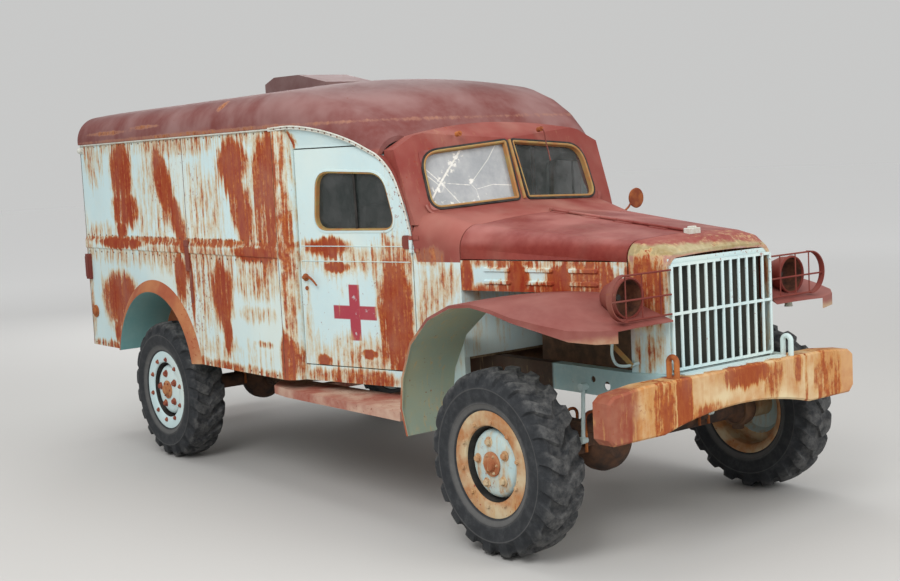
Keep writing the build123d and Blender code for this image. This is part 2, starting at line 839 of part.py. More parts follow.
# Box sides: wall and rounded front pillar in one pressing, arch opening, belt rail
side_low = box_bottom_z
side_high = gutter_z - fit
pillar_out = side_point(-door_gap, 0)
pillar_in = side_point(-door_gap, cab_wall)
with BuildPart() as box_side_right:
    with BuildSketch(Plane.XY.offset(side_low)):
        with BuildLine():
            Line((box_rear_x, -box_half), (box_front_x, -box_half))
            ThreePointArc(
                (box_front_x, -box_half),
                (box_front_x + 46, -box_half + 26),
                (pillar_out[0], -pillar_out[1]),
            )
            Polyline(
                (pillar_out[0], -pillar_out[1]),
                (pillar_in[0], -pillar_in[1]),
                (box_front_x + 20, -pillar_in[1]),
                (box_front_x - pillar_step, -box_inner),
                (box_rear_x, -box_inner),
                (box_rear_x, -box_half),
            )
        make_face()
    extrude(amount=side_high - side_low)
    with BuildSketch(Plane.XZ.offset(box_half + 1)):
        with Locations((arch_x, arch_z)):
            Circle(well_reach)
    extrude(amount=-box_wall - 2, mode=Mode.SUBTRACT)
    with BuildSketch(Plane.YZ.offset(box_rear_x)):
        with BuildLine():
            Polyline(
                (-box_half + 1, belt_low_z),
                (-box_half - belt_proud, belt_low_z + 6),
                (-box_half - belt_proud, belt_high_z - 20),
                (-box_half + 1, belt_high_z),
                close=True,
            )
        make_face()
    extrude(amount=box_front_x - box_rear_x)
save(box_side_right, "box_side_right")
with BuildPart() as box_side_left:
    mirror(box_side_right.part, about=Plane.XZ)
save(box_side_left, "box_side_left")

# Rear wheel arches: barrel, inner wall and flared lip on each side
with BuildPart() as rear_arches:
    with BuildSketch(Plane.XZ.offset(well_inner_y)):
        with Locations((arch_x, arch_z)):
            Circle(arch_radius + arch_wall)
    extrude(amount=flare_y - well_inner_y)
    with BuildSketch(Plane.XZ.offset(box_half + fit)):
        with Locations((arch_x, arch_z)):
            Circle(arch_radius + arch_wall + flare_reach)
    with BuildSketch(Plane.XZ.offset(flare_y)):
        with Locations((arch_x, arch_z)):
            Circle(arch_radius + arch_wall)
    loft(ruled=True)
    with BuildSketch(Plane.XZ.offset(well_inner_y + arch_wall)):
        with Locations((arch_x, arch_z)):
            Circle(arch_radius)
    extrude(amount=flare_y - well_inner_y, mode=Mode.SUBTRACT)
    with BuildSketch(Plane.XY.offset(box_bottom_z)):
        with Locations((arch_x, -flare_y)):
            Rectangle(3 * arch_radius, 4 * flare_y)
    extrude(amount=-2 * arch_radius, mode=Mode.SUBTRACT)
    mirror(about=Plane.XZ)
save(rear_arches, "rear_arches")

# Partition behind the seats, with its doorway
doorway_half = 250.0
doorway_top_z = 1700.0
with BuildPart() as partition:
    with BuildSketch(Plane.YZ.offset(box_front_x - 34)):
        add(roof_section(*roof_stations[1][1:], roof_wall + 1))
        with Locations((0, gutter_z - box_half + fit)):
            Rectangle(4 * box_half, 2 * box_half, mode=Mode.SUBTRACT)
        with Locations((0, (floor_z + gutter_z) / 2 + fit)):
            Rectangle(2 * box_inner - 2 * fit, gutter_z - floor_z + fit)
        with Locations((0, (floor_z + doorway_top_z) / 2)):
            Rectangle(2 * doorway_half, doorway_top_z - floor_z, mode=Mode.SUBTRACT)
    extrude(amount=30)
save(partition, "partition")

# Rear wall frame and its two doors
frame_top = roof_stations[0]
with BuildPart() as box_rear_frame:
    with BuildSketch(Plane.YZ.offset(box_rear_x)):
        with Locations((0, (box_bottom_z + side_high) / 2)):
            Rectangle(2 * box_inner - 2 * fit, side_high - box_bottom_z)
        middle = (rear_door_low_z + rear_door_high_z) / 2
        with Locations((0, middle)):
            Rectangle(
                2 * (rear_door_half + door_gap),
                rear_door_high_z - rear_door_low_z + 2 * door_gap,
                mode=Mode.SUBTRACT,
            )
    extrude(amount=box_wall)
    add(hinge_fixed(rear_hinge, rear_hinge_out, rear_hinge_levels))
    mirror(about=Plane.XZ)
save(box_rear_frame, "box_rear_frame")

window_low_z = 1330.0
window_high_z = 1640.0
window_in = 150.0
for side, hand in ((-1, "right"), (1, "left")):
    with BuildPart() as rear_door:
        with BuildSketch(Plane.YZ.offset(box_rear_x)):
            width = rear_door_half - door_gap / 2
            with Locations((side * (width + door_gap) / 2, middle)):
                Rectangle(width, rear_door_high_z - rear_door_low_z)
            with Locations((side * (width + door_gap) / 2, (window_low_z + window_high_z) / 2)):
                RectangleRounded(
                    width - 2 * window_in, window_high_z - window_low_z, 40, mode=Mode.SUBTRACT
                )
        extrude(amount=rear_door_wall)
        rear_knuckles = hinge_moving(rear_hinge, rear_hinge_out, rear_hinge_levels)
        if side > 0:
            rear_knuckles = mirror(rear_knuckles, about=Plane.XZ, mode=Mode.PRIVATE)
        add(rear_knuckles)
    save(rear_door, f"rear_door_{hand}")
    with BuildPart() as rear_glass:
        with BuildSketch(Plane.YZ.offset(box_rear_x + rear_door_wall / 2)):
            with Locations((side * (width + door_gap) / 2, (window_low_z + window_high_z) / 2)):
                RectangleRounded(
                    width - 2 * window_in - fit, window_high_z - window_low_z - fit, 40 - fit / 2
                )
        extrude(amount=glass_wall)
    save(rear_glass, f"rear_door_{hand}_glass")

# Folding rear step
with BuildPart() as rear_step:
    with BuildSketch(Plane.XY.offset(step_pivot_z - step_wall / 2)):
        with Locations((step_pivot_x - step_hinge_gap - step_depth / 2, 0)):
            RectangleRounded(step_depth, 2 * step_half, step_corner)
    extrude(amount=step_wall)
    for side in (-1, 1):
        with BuildSketch(Plane.XZ.offset(side * (bracket_y - step_lug_inset) - step_lug_length / 2)):
            with Locations((step_pivot_x, step_pivot_z)):
                Circle(step_lug_radius)
            with Locations((step_pivot_x - 0.6 * step_hinge_gap, step_pivot_z)):
                Rectangle(1.2 * step_hinge_gap, 2 * step_lug_radius)
        extrude(amount=step_lug_length)
    with BuildSketch(Plane.XZ.offset(-bracket_y)):
        with Locations((step_pivot_x, step_pivot_z)):
            Circle(step_pin_radius + spindle_fit)
    extrude(amount=2 * bracket_y, mode=Mode.SUBTRACT)
save(rear_step, "rear_step")


# Cab doors: outline in the plane of the tapered side
sweep_start_z = 1345.0
sweep_end = (115.0, 1652.0)
corner_middle = (210.0, 1757.0)
corner_end = 355.0
window_corner = 60.0
# Columns: distance forward of the door's rear edge, height
window_corners = ((118.0, 1390.0), (662.0, 1390.0), (588.0, 1664.0), (146.0, 1684.0))


def door_outline(grow):
    """Door outline, grown outward by a gap, with the front edge swept back above the belt."""
    front = door_length + grow
    top = door_top_z + grow
    swept = (front - sweep_end[0], sweep_end[1])
    with BuildSketch() as outline:
        with BuildLine():
            Polyline(
                (door_length - corner_end, top),
                (-grow, top),
                (-grow, door_bottom_z - grow),
                (front, door_bottom_z - grow),
                (front, sweep_start_z),
            )
            ThreePointArc((front, sweep_start_z), (front - 35, 1502), swept)
            ThreePointArc(
                swept,
                (door_length - corner_middle[0] + grow * 0.7, corner_middle[1] + grow * 0.7),
                (door_length - corner_end, top),
            )
        make_face()
    return outline.sketch


def door_window(shrink):
    """Window outline with rounded corners, drawn in by a clearance."""
    inward = ((1, 1), (-1, 1), (-1, -1), (1, -1))
    corners = [
        (along + shrink * right, z + shrink * up)
        for (along, z), (right, up) in zip(window_corners, inward)
    ]
    with BuildSketch() as outline:
        with BuildLine():
            FilletPolyline(*corners, radius=window_corner - shrink, close=True)
        make_face()
    return outline.sketch


with BuildPart() as cab_door_right:
    with BuildSketch(right_side):
        add(door_outline(0))
        add(door_window(0), mode=Mode.SUBTRACT)
    extrude(amount=-door_wall)
    add(hinge_moving(cab_hinge, cab_hinge_out, cab_hinge_levels))
save(cab_door_right, "cab_door_right")
with BuildPart() as cab_door_left:
    mirror(cab_door_right.part, about=Plane.XZ)
save(cab_door_left, "cab_door_left")
with BuildPart() as cab_door_right_glass:
    with BuildSketch(right_side.offset(-door_wall / 2)):
        add(door_window(fit))
    extrude(amount=-glass_wall)
save(cab_door_right_glass, "cab_door_right_glass")
with BuildPart() as cab_door_left_glass:
    mirror(cab_door_right_glass.part, about=Plane.XZ)
save(cab_door_left_glass, "cab_door_left_glass")


# Hood and cowl sections: a flat side, a shoulder arc and a crown arc
def hood_arch(half, shoulder, crown_z, low_z, inset):
    """Closed arch section shared by hood, nose and cowl."""
    w = half - inset
    drop = crown_z - inset
    side_top = crown_z - 0.40 * shoulder - 78
    sh_y = w - shoulder
    sh_z = drop - 0.22 * shoulder
    mid_y = w - 0.22 * shoulder
    mid_z = side_top + 0.68 * (sh_z - side_top)
    with BuildSketch() as outline:
        with BuildLine():
            Line((-w, low_z), (w, low_z))
            Line((w, low_z), (w, side_top))
            ThreePointArc((w, side_top), (mid_y, mid_z), (sh_y, sh_z))
            ThreePointArc((sh_y, sh_z), (0, drop), (-sh_y, sh_z))
            ThreePointArc((-sh_y, sh_z), (-mid_y, mid_z), (-w, side_top))
            Line((-w, side_top), (-w, low_z))
        make_face()
    return outline.sketch


# Columns: x, half width, shoulder, crown z
hood_rear = (hood_rear_x + hood_gap, side_y(hood_rear_x + hood_gap), 140, hood_rear_crown_z)
hood_front = (hood_front_x, hood_front_half, 60, hood_front_crown_z)
hood_low_z = belt_low_z + hood_gap / 2

# Hinge along the crown: a pin from the nose to the cowl, knuckles of both halves in turn
hood_pin_radius = 3.5
hood_knuckle_radius = 7.0
hood_pin_lift = 7.5
hood_leaf = 30.0
hood_leaf_wall = 3.5
hood_knuckles = 8
hood_post = 18.0
hood_post_sink = 20.0
hood_fall = atan2(hood_rear_crown_z - hood_front_crown_z, hood_front_x - hood_rear[0])
hood_run = (hood_front_x - hood_rear_x) / cos(hood_fall)
hood_pin = Plane(
    origin=(hood_rear_x, 0, hood_rear_crown_z + hood_gap * sin(hood_fall) + hood_pin_lift),
    x_dir=(0, 1, 0),
    z_dir=(cos(hood_fall), 0, -sin(hood_fall)),
)


def hood_hinge_leaves(side):
    """Knuckles and leaves of one hood half; the other half fills the places between."""
    pitch = (hood_run - hood_gap) / hood_knuckles
    first = 0 if side < 0 else 1
    with BuildPart() as leaves:
        for place in range(first, hood_knuckles, 2):
            with BuildSketch(hood_pin.offset(hood_gap + place * pitch + 1)):
                Circle(hood_knuckle_radius)
                with Locations(
                    (side * hood_leaf / 2, hood_leaf_wall / 2 - hood_pin_lift - leaf_bite)
                ):
                    Rectangle(hood_leaf, hood_leaf_wall)
                Circle(hood_pin_radius + hinge_fit, mode=Mode.SUBTRACT)
            extrude(amount=pitch - 2)
    return leaves.part


def hood_pin_post(start):
    """Post at one end of the hood's pin, from a distance along the pin."""
    with BuildPart() as post:
        with BuildSketch(hood_pin.offset(start)):
            with Locations((0, (hood_knuckle_radius - hood_post_sink) / 2)):
                Rectangle(hood_post, hood_knuckle_radius + hood_post_sink)
        extrude(amount=hood_post)
    return post.part


for side, hand in ((-1, "right"), (1, "left")):
    with BuildPart() as hood_half:
        for x, half, shoulder, crown_z in (hood_rear, hood_front):
            with BuildSketch(Plane.YZ.offset(x)):
                add(hood_arch(half, shoulder, crown_z, hood_low_z, 0))
        loft(ruled=True)
        for x, half, shoulder, crown_z in (hood_rear, hood_front):
            shift = -1 if x == hood_rear[0] else 1
            with BuildSketch(Plane.YZ.offset(x + shift)):
                add(hood_arch(half, shoulder, crown_z, hood_low_z - 5, hood_wall))
        loft(ruled=True, mode=Mode.SUBTRACT)
        with BuildSketch(Plane.YZ.offset(hood_rear_x)):
            with Locations((-side * (1000 - hood_gap / 2), hood_low_z)):
                Rectangle(2000, 2000)
        extrude(amount=hood_front_x - hood_rear_x + 10, mode=Mode.SUBTRACT)
        add(hood_hinge_leaves(side))
    save(hood_half, f"hood_{hand}")

# Fixed side panels under the hood, with pressed louvres
with BuildPart() as hood_side_panels:
    panel_rear = along_side(hood_rear_x + 2 + fit)
    panel_front = along_side(hood_front_x)
    panel_high = belt_low_z - hood_gap / 2
    with BuildSketch(right_side):
        with Locations(((panel_rear + panel_front) / 2, (side_panel_low_z + panel_high) / 2)):
            Rectangle(panel_front - panel_rear, panel_high - side_panel_low_z)
        with Locations((along_side(hood_front_x - 62), side_panel_low_z + 40)):
            Circle(14, mode=Mode.SUBTRACT)
    extrude(amount=-side_panel_wall)
    for column in range(3):
        for row_z in louvre_rows:
            centre = along_side(louvre_first_x + column * louvre_pitch)
            with BuildSketch(right_side):
                with Locations((centre, row_z)):
                    SlotOverall(louvre_length, 26)
            extrude(amount=9, taper=35)
    mirror(about=Plane.XZ)
save(hood_side_panels, "hood_side_panels")

# Nose shell around the radiator
# Columns: x, half width, shoulder, crown z
nose_stations = (
    (hood_front_x + hood_gap, hood_front_half - 3, 60, hood_front_crown_z),
    (nose_front_x - 60, nose_half + 18, 56, hood_front_crown_z - 18),
    (nose_front_x, nose_half, 40, hood_front_crown_z - 60),
)
with BuildPart() as nose_shell:
    for x, half, shoulder, crown_z in nose_stations:
        with BuildSketch(Plane.YZ.offset(x)):
            add(hood_arch(half, shoulder, crown_z, nose_bottom_z, 0))
    loft(ruled=True)
    for x, half, shoulder, crown_z in nose_stations:
        with BuildSketch(Plane.YZ.offset(x)):
            add(hood_arch(half, shoulder, crown_z, nose_bottom_z - 5, nose_wall))
    loft(ruled=True, mode=Mode.SUBTRACT)
    post_start = hood_run + hood_gap + 2
    with BuildSketch(hood_pin.offset(-hood_post)):
        Circle(hood_pin_radius)
    extrude(amount=post_start + 1.5 * hood_post)
    add(hood_pin_post(post_start))
save(nose_shell, "nose_shell")

with BuildPart() as radiator_core:
    with BuildSketch(Plane.XY.offset(rail_top_z + fit)):
        with Locations((nose_front_x - 78, 0)):
            Rectangle(64, 2 * (nose_half - nose_wall - 6))
    extrude(amount=guard_high_z - rail_top_z - 10)
    with BuildSketch(Plane.XY.offset(rail_top_z - rail_wall + fit)):
        with Locations((nose_front_x - 78, 0)):
            Rectangle(60, frame_half)
    extrude(amount=rail_wall)
save(radiator_core, "radiator_core")

# Grille guard: thirteen upright bars, three rails and a cage over each lamp
guard_mid_z = (guard_low_z + guard_high_z) / 2 + 16
cage_radius = 98.0
cage_y = lamp_y + 66.0
cage_z = lamp_z + 8.0
band_width = 28.0
band_wall = 5.0
rod_radius = 4.0
rail_depth = 9.0
with BuildPart() as grille_guard:
    pitch = 2 * guard_half / (bar_count - 1)
    with BuildSketch(Plane.XY.offset(guard_low_z)):
        with Locations((guard_x, 0)):
            with GridLocations(0, pitch, 1, bar_count):
                Circle(bar_radius)
    extrude(amount=guard_high_z - guard_low_z)
    with BuildSketch(Plane.XZ.offset(-guard_half)):
        for z in (guard_low_z, guard_high_z):
            with Locations((guard_x, z)):
                Rectangle(rail_depth, 12)
        with Locations((guard_x + 2, guard_mid_z)):
            Rectangle(rail_depth, 12)
    extrude(amount=2 * guard_half)
    for side in (-1, 1):
        with BuildSketch(Plane.YZ.offset(guard_x - band_width / 2)):
            with BuildLine():
                ThreePointArc(
                    (side * cage_y, cage_z + cage_radius),
                    (side * (cage_y + cage_radius), cage_z),
                    (side * cage_y, cage_z - cage_radius),
                )
                Line(
                    (side * cage_y, cage_z - cage_radius),
                    (side * cage_y, cage_z - cage_radius + band_wall),
                )
                ThreePointArc(
                    (side * cage_y, cage_z - cage_radius + band_wall),
                    (side * (cage_y + cage_radius - band_wall), cage_z),
                    (side * cage_y, cage_z + cage_radius - band_wall),
                )
                Line(
                    (side * cage_y, cage_z + cage_radius - band_wall),
                    (side * cage_y, cage_z + cage_radius),
                )
            make_face()
        extrude(amount=band_width)
        rod_levels = (cage_z + cage_radius - band_wall, cage_z - 10, cage_z - cage_radius + band_wall)
        for level in rod_levels:
            reach = cage_y + (cage_radius - 8 if level == rod_levels[1] else 12)
            with BuildSketch(Plane.XZ.offset(-side * guard_half)):
                with Locations((guard_x, level)):
                    Circle(rod_radius)
            extrude(amount=-side * (reach - guard_half))
        with BuildSketch(Plane.XY.offset(rod_levels[2])):
            for y in (guard_half + 70, lamp_y - 30, cage_y):
                with Locations((guard_x, side * y)):
                    Circle(rod_radius - 1)
        extrude(amount=rod_levels[0] - rod_levels[2])
    with BuildSketch(Plane.YZ.offset(nose_front_x + fit)):
        for z in (guard_low_z + 40, guard_high_z - 12):
            with Locations((-guard_half, z), (guard_half, z)):
                Rectangle(10, 24)
    extrude(amount=guard_x - nose_front_x - fit)
save(grille_guard, "grille_guard")


# Head lamps: empty buckets seated in the fender tops
def lamp_shape(grow):
    """Outer shape of the right lamp bucket, grown by a clearance."""
    radius = lamp_radius + grow
    with BuildPart() as shape:
        with BuildSketch(Plane.XY.offset(lamp_z)):
            with BuildLine():
                Polyline(
                    (lamp_face_x + grow, -lamp_y),
                    (lamp_face_x + grow, -lamp_y + radius),
                    (lamp_face_x - 0.35 * lamp_length, -lamp_y + radius - 4),
                    (lamp_face_x - 0.75 * lamp_length, -lamp_y + 0.66 * radius),
                    (lamp_face_x - lamp_length - grow, -lamp_y + 0.25 * radius),
                    (lamp_face_x - lamp_length - grow, -lamp_y),
                    close=True,
                )
            make_face()
        revolve(axis=Axis((lamp_face_x, -lamp_y, lamp_z), (1, 0, 0)))
    return shape.part


with BuildPart() as headlamps:
    add(lamp_shape(0))
    with BuildSketch(Plane.XY.offset(lamp_z)):
        with BuildLine():
            Polyline(
                (lamp_face_x + 1, -lamp_y),
                (lamp_face_x + 1, -lamp_y + lamp_radius - lamp_wall),
                (lamp_face_x - 0.34 * lamp_length, -lamp_y + lamp_radius - 4 - lamp_wall),
                (lamp_face_x - 0.73 * lamp_length, -lamp_y + 0.6 * lamp_radius),
                (lamp_face_x - lamp_length + lamp_wall, -lamp_y + 0.2 * lamp_radius),
                (lamp_face_x - lamp_length + lamp_wall, -lamp_y),
                close=True,
            )
        make_face()
    revolve(axis=Axis((lamp_face_x, -lamp_y, lamp_z), (1, 0, 0)), mode=Mode.SUBTRACT)
    mirror(about=Plane.XZ)
save(headlamps, "headlamps")


# Front fenders: sections square to the arch line, from the running board over to the nose
# Columns: lip x, lip z, tangent x, tangent z, outer y, lip height, rise to the inner crown
fender_stations = (
    (1286, 461, -0.20, 1.00, fender_y, 14, 8),
    (1249, 585, 0.00, 1.00, fender_y, 14, 8),
    (1269, 726, 0.27, 0.96, fender_y, 14, 8),
    (1345, 888, 0.55, 0.83, fender_y, 14, 8),
    (1480, 1008, 0.80, 0.60, fender_y, 14, 8),
    (1640, 1072, 0.97, 0.22, fender_y, 14, 8),
    (1785, 1084, 1.00, 0.00, fender_y, 15, 9),
    (1915, 1066, 1.00, 0.00, fender_y - 2, 18, 30),
    (2041, 1034, 1.00, 0.00, fender_y - 8, 22, 58),
    (2193, 1000, 1.00, 0.00, fender_y - 37, 32, 62),
    (2308, 966, 1.00, 0.00, fender_y - 82, 46, 30),
    (2380, 951, 1.00, 0.00, fender_y - 165, 54, 8),
    (2404, 945, 1.00, 0.00, fender_y - 262, 55, 4),
)
with BuildPart() as front_fenders:
    for x, z, tx, tz, outer, lip, rise in fender_stations:
        size = hypot(tx, tz)
        crown = lip + rise
        inner = side_y(x - crown * tz / size) + fender_seat
        station = Plane(origin=(x, 0, z), x_dir=(0, -1, 0), z_dir=(tx / size, 0, tz / size))
        bow_y = inner + 0.62 * (outer - inner)
        bow = lip + rise * 0.78
        with BuildSketch(station):
            with BuildLine():
                Line((outer, 0), (outer, -lip))
                ThreePointArc((outer, -lip), (bow_y, -bow), (inner, -crown))
                Line((inner, -crown), (inner, -crown + fender_wall))
                ThreePointArc(
                    (inner, -crown + fender_wall),
                    (bow_y, -bow + fender_wall),
                    (outer - fender_wall, -lip + fender_wall),
                )
                Line((outer - fender_wall, -lip + fender_wall), (outer - fender_wall, 0))
                Line((outer - fender_wall, 0), (outer, 0))
            make_face()
    loft(ruled=True)
    add(lamp_shape(fit), mode=Mode.SUBTRACT)
    mirror(about=Plane.XZ)
save(front_fenders, "front_fenders")

# Running boards on arms from the frame
with BuildPart() as running_boards:
    with BuildSketch(Plane.XY.offset(board_top_z - board_thickness)):
        with BuildLine():
            Polyline(
                (board_rear_x, -800),
                (board_rear_x + 110, -900),
                (board_rear_x + 270, -fender_y + 6),
                (board_front_x, -fender_y + 2),
                (board_front_x, -640),
                (board_rear_x + 60, -700),
                close=True,
            )
        make_face()
    extrude(amount=board_thickness)
    for x in (180.0, 760.0):
        with BuildSketch(Plane.YZ.offset(x)):
            with BuildLine():
                Polyline(
                    (-720, board_top_z - 4),
                    (-720, board_top_z - 40),
                    (-frame_half + 44, board_top_z - 40),
                    (-frame_half + 44, rail_low_z - fit),
                    (-frame_half, rail_low_z - fit),
                    (-frame_half, board_top_z - 4),
                    close=True,
                )
            make_face()
        extrude(amount=50)
    mirror(about=Plane.XZ)
save(running_boards, "running_boards")

# Cab shell: tapered sides with door openings, cowl, windscreen frame and fire wall
cowl_rear_x = 1040.0
roof_front_x = roof_stations[-1][0]
screen_sill_z = screen_bottom_z - 60.0
header_z = roof_stations[-1][5]
side_front = along_side(hood_rear_x)
side_rear = -door_gap + fit


def screen_plane(side):
    """Plane of one windscreen pane: X to the left, Y up the rake, Z forward."""
    out = (-sin(radians(screen_vee)), side * cos(radians(screen_vee)), 0.0)
    lean = radians(screen_rake)
    flat = cos(lean)
    face = (cos(radians(screen_vee)) * flat, side * sin(radians(screen_vee)) * flat, sin(lean))
    origin = (screen_mid_x, 0.0, screen_top_z)
    if side > 0:
        return Plane(origin=origin, x_dir=out, z_dir=face)
    return Plane(origin=origin, x_dir=(-out[0], -out[1], 0.0), z_dir=face)


def pane_outline(side, grow):
    """Pane outline in its own plane, rounded at the corners."""
    near = side * (22 - grow)
    far = side * (screen_half - 30 + grow)
    with BuildSketch() as outline:
        with BuildLine():
            FilletPolyline(
                (near, 8 + grow),
                (far, -34 + grow),
                (far, -318 - grow),
                (near, -296 - grow),
                radius=12,
                close=True,
            )
        make_face()
    return outline.sketch


def screen_surround(inset):
    """Solid behind the windscreen's face, under the header and between the cab sides."""
    half, edge_z, sy, sz, cz = roof_stations[-1][1:]
    low = side_y(cowl_rear_x) - inset
    base = screen_sill_z - 2 * inset
    with BuildPart() as surround:
        with BuildSketch(Plane.YZ.offset(roof_front_x + fit - inset / 20)):
            with BuildLine():
                Polyline(
                    (-sy + inset, sz - inset),
                    (-half + 40 + inset, edge_z + 20 - inset),
                    (-low, base),
                    (low, base),
                    (half - 40 - inset, edge_z + 20 - inset),
                    (sy - inset, sz - inset),
                )
                ThreePointArc((sy - inset, sz - inset), (0, cz - inset), (-sy + inset, sz - inset))
            make_face()
        extrude(amount=300)
        for side in (-1, 1):
            with BuildSketch(screen_plane(side).offset(8 - 1.2 * inset)):
                Rectangle(3000, 3000)
            extrude(amount=600, mode=Mode.SUBTRACT)
            with BuildSketch(side_plane(side).offset(-inset)):
                Rectangle(5000, 5000)
            extrude(amount=400, mode=Mode.SUBTRACT)
        brow = Plane(
            origin=(roof_front_x, 0, header_z - inset), x_dir=(0, 1, 0), z_dir=(0.53, 0, 0.85)
        )
        with BuildSketch(brow):
            Rectangle(2000, 2000)
        extrude(amount=400, mode=Mode.SUBTRACT)
    return surround.part


# The brow under the roof's edge follows its stations; each soffit foot is its drop from there
front_edges_z = roof_stations[3:]
soffit_drops = (92, 57, 20, 6)
cowl_corner_z = 1360.0
pillar_edge = ((1000, 1530), (950, 1660), (900, 1722))
brow_stations = [(door_rear_x - door_gap + 1, roof_stations[2][1] + 10, gutter_z + 1, 1826)]
for (x, half, edge_z, *_), drop in zip(roof_stations[2:6], soffit_drops):
    brow_stations.append((x, half - 3, edge_z - 0.5, edge_z - drop))
with BuildPart() as cab_shell:
    with BuildSketch(right_side):
        with BuildLine():
            Polyline(
                (side_rear, box_bottom_z),
                (side_front, box_bottom_z),
                (side_front, belt_low_z + 10),
                (along_side(cowl_rear_x) + 4, belt_low_z + 10),
                (along_side(cowl_rear_x) + 4, cowl_corner_z),
                *[(along_side(x), z) for x, z in pillar_edge],
                *reversed([(along_side(x), edge_z - fit) for x, _, edge_z, *_ in front_edges_z]),
                (side_rear, front_edges_z[0][2]),
                close=True,
            )
        make_face()
        add(door_outline(door_gap), mode=Mode.SUBTRACT)
        with Locations((side_rear - 2, (door_bottom_z + door_top_z) / 2)):
            Rectangle(8, door_top_z - door_bottom_z + 2 * door_gap, mode=Mode.SUBTRACT)
    extrude(amount=-cab_wall)
    for x, half, drip_z, foot_z in brow_stations:
        with BuildSketch(Plane.YZ.offset(x)):
            with BuildLine():
                Polyline(
                    (-side_y(x) + cab_wall - 2, drip_z),
                    (-half, drip_z),
                    (-side_y(x), foot_z),
                    (-side_y(x) + cab_wall - 2, foot_z),
                    close=True,
                )
            make_face()
    loft(ruled=True)
    mirror(about=Plane.XZ)
    cowl_rear = (cowl_rear_x, side_y(cowl_rear_x), 150, 1500)
    cowl_front = (hood_rear_x, side_y(hood_rear_x), 140, hood_rear_crown_z)
    for x, half, shoulder, crown_z in (cowl_rear, cowl_front):
        with BuildSketch(Plane.YZ.offset(x)):
            add(hood_arch(half, shoulder, crown_z, belt_low_z, 0))
    loft(ruled=True)
    add(screen_surround(0))
    for x, half, shoulder, crown_z in (cowl_rear, cowl_front):
        with BuildSketch(Plane.YZ.offset(x - (cab_wall / 2))):
            add(hood_arch(half, shoulder, crown_z, belt_low_z - 5, cab_wall))
    loft(ruled=True, mode=Mode.SUBTRACT)
    add(screen_surround(cab_wall), mode=Mode.SUBTRACT)
    for side in (-1, 1):
        with BuildSketch(screen_plane(side).offset(-80)):
            add(pane_outline(side, 0))
        extrude(amount=140, mode=Mode.SUBTRACT)
        with BuildSketch(side_plane(side).offset(20)):
            if side < 0:
                add(door_outline(door_gap))
            else:
                add(mirror(door_outline(door_gap), about=Plane.YZ))
        extrude(amount=-20 - door_wall - door_gap, mode=Mode.SUBTRACT)
    with BuildSketch(Plane.YZ.offset(hood_rear_x - 20)):
        with Locations((0, (floor_z + belt_low_z) / 2)):
            Rectangle(2 * side_y(hood_rear_x) - 10, belt_low_z - floor_z + 20)
    extrude(amount=20)
    add(hood_pin_post(-hood_post - 3))
    with BuildSketch(hood_pin.offset(-hood_post - 4)):
        Circle(hood_pin_radius + hinge_fit)
    extrude(amount=hood_post + 2, mode=Mode.SUBTRACT)
    cab_pins = hinge_fixed(cab_hinge, cab_hinge_out, cab_hinge_levels)
    add(cab_pins)
    add(mirror(cab_pins, about=Plane.XZ, mode=Mode.PRIVATE))
save(cab_shell, "cab_shell")

with BuildPart() as windscreen_glass:
    for side in (-1, 1):
        with BuildSketch(screen_plane(side).offset(-20)):
            add(pane_outline(side, -fit))
        extrude(amount=glass_wall)
save(windscreen_glass, "windscreen_glass")

# Cab inside: dash, steering column and wheel, seats
dash_x = 1010.0
dash_z = 1286.0
dash_height = 120.0
dash_depth = 44.0
dash_corner = 30.0
dash_gap = 5.2
with BuildPart() as dashboard:
    with BuildSketch(Plane.YZ.offset(dash_x)):
        with Locations((0, dash_z)):
            RectangleRounded(2 * (side_y(dash_x + dash_depth) - cab_wall - dash_gap), dash_height, dash_corner)
    extrude(amount=dash_depth)
save(dashboard, "dashboard")

seat_y = 330.0
column_radius = 19.0
column_low = Vector(hood_rear_x - 32.8, seat_y, 960)
column_high = Vector(880, seat_y, 1305)
steer_radius = 195.0
steer_rim = 12.0
steer_hub = 38.0
steer_spoke = 16.0
with BuildPart() as steering_wheel:
    run = column_high - column_low
    with BuildSketch(Plane(origin=column_low, z_dir=run.normalized())):
        Circle(column_radius)
    extrude(amount=run.length)
    rim_plane = Plane(origin=column_high, x_dir=(0, 1, 0), z_dir=run.normalized())
    with Locations(rim_plane):
        Torus(steer_radius, steer_rim)
    with BuildSketch(rim_plane):
        for turn in (90, 210, 330):
            with Locations((0, 0)):
                with PolarLocations(steer_radius / 2, 1, start_angle=turn):
                    Rectangle(steer_radius, steer_spoke)
        Circle(steer_hub)
    extrude(amount=steer_spoke / 2, both=True)
save(steering_wheel, "steering_wheel")

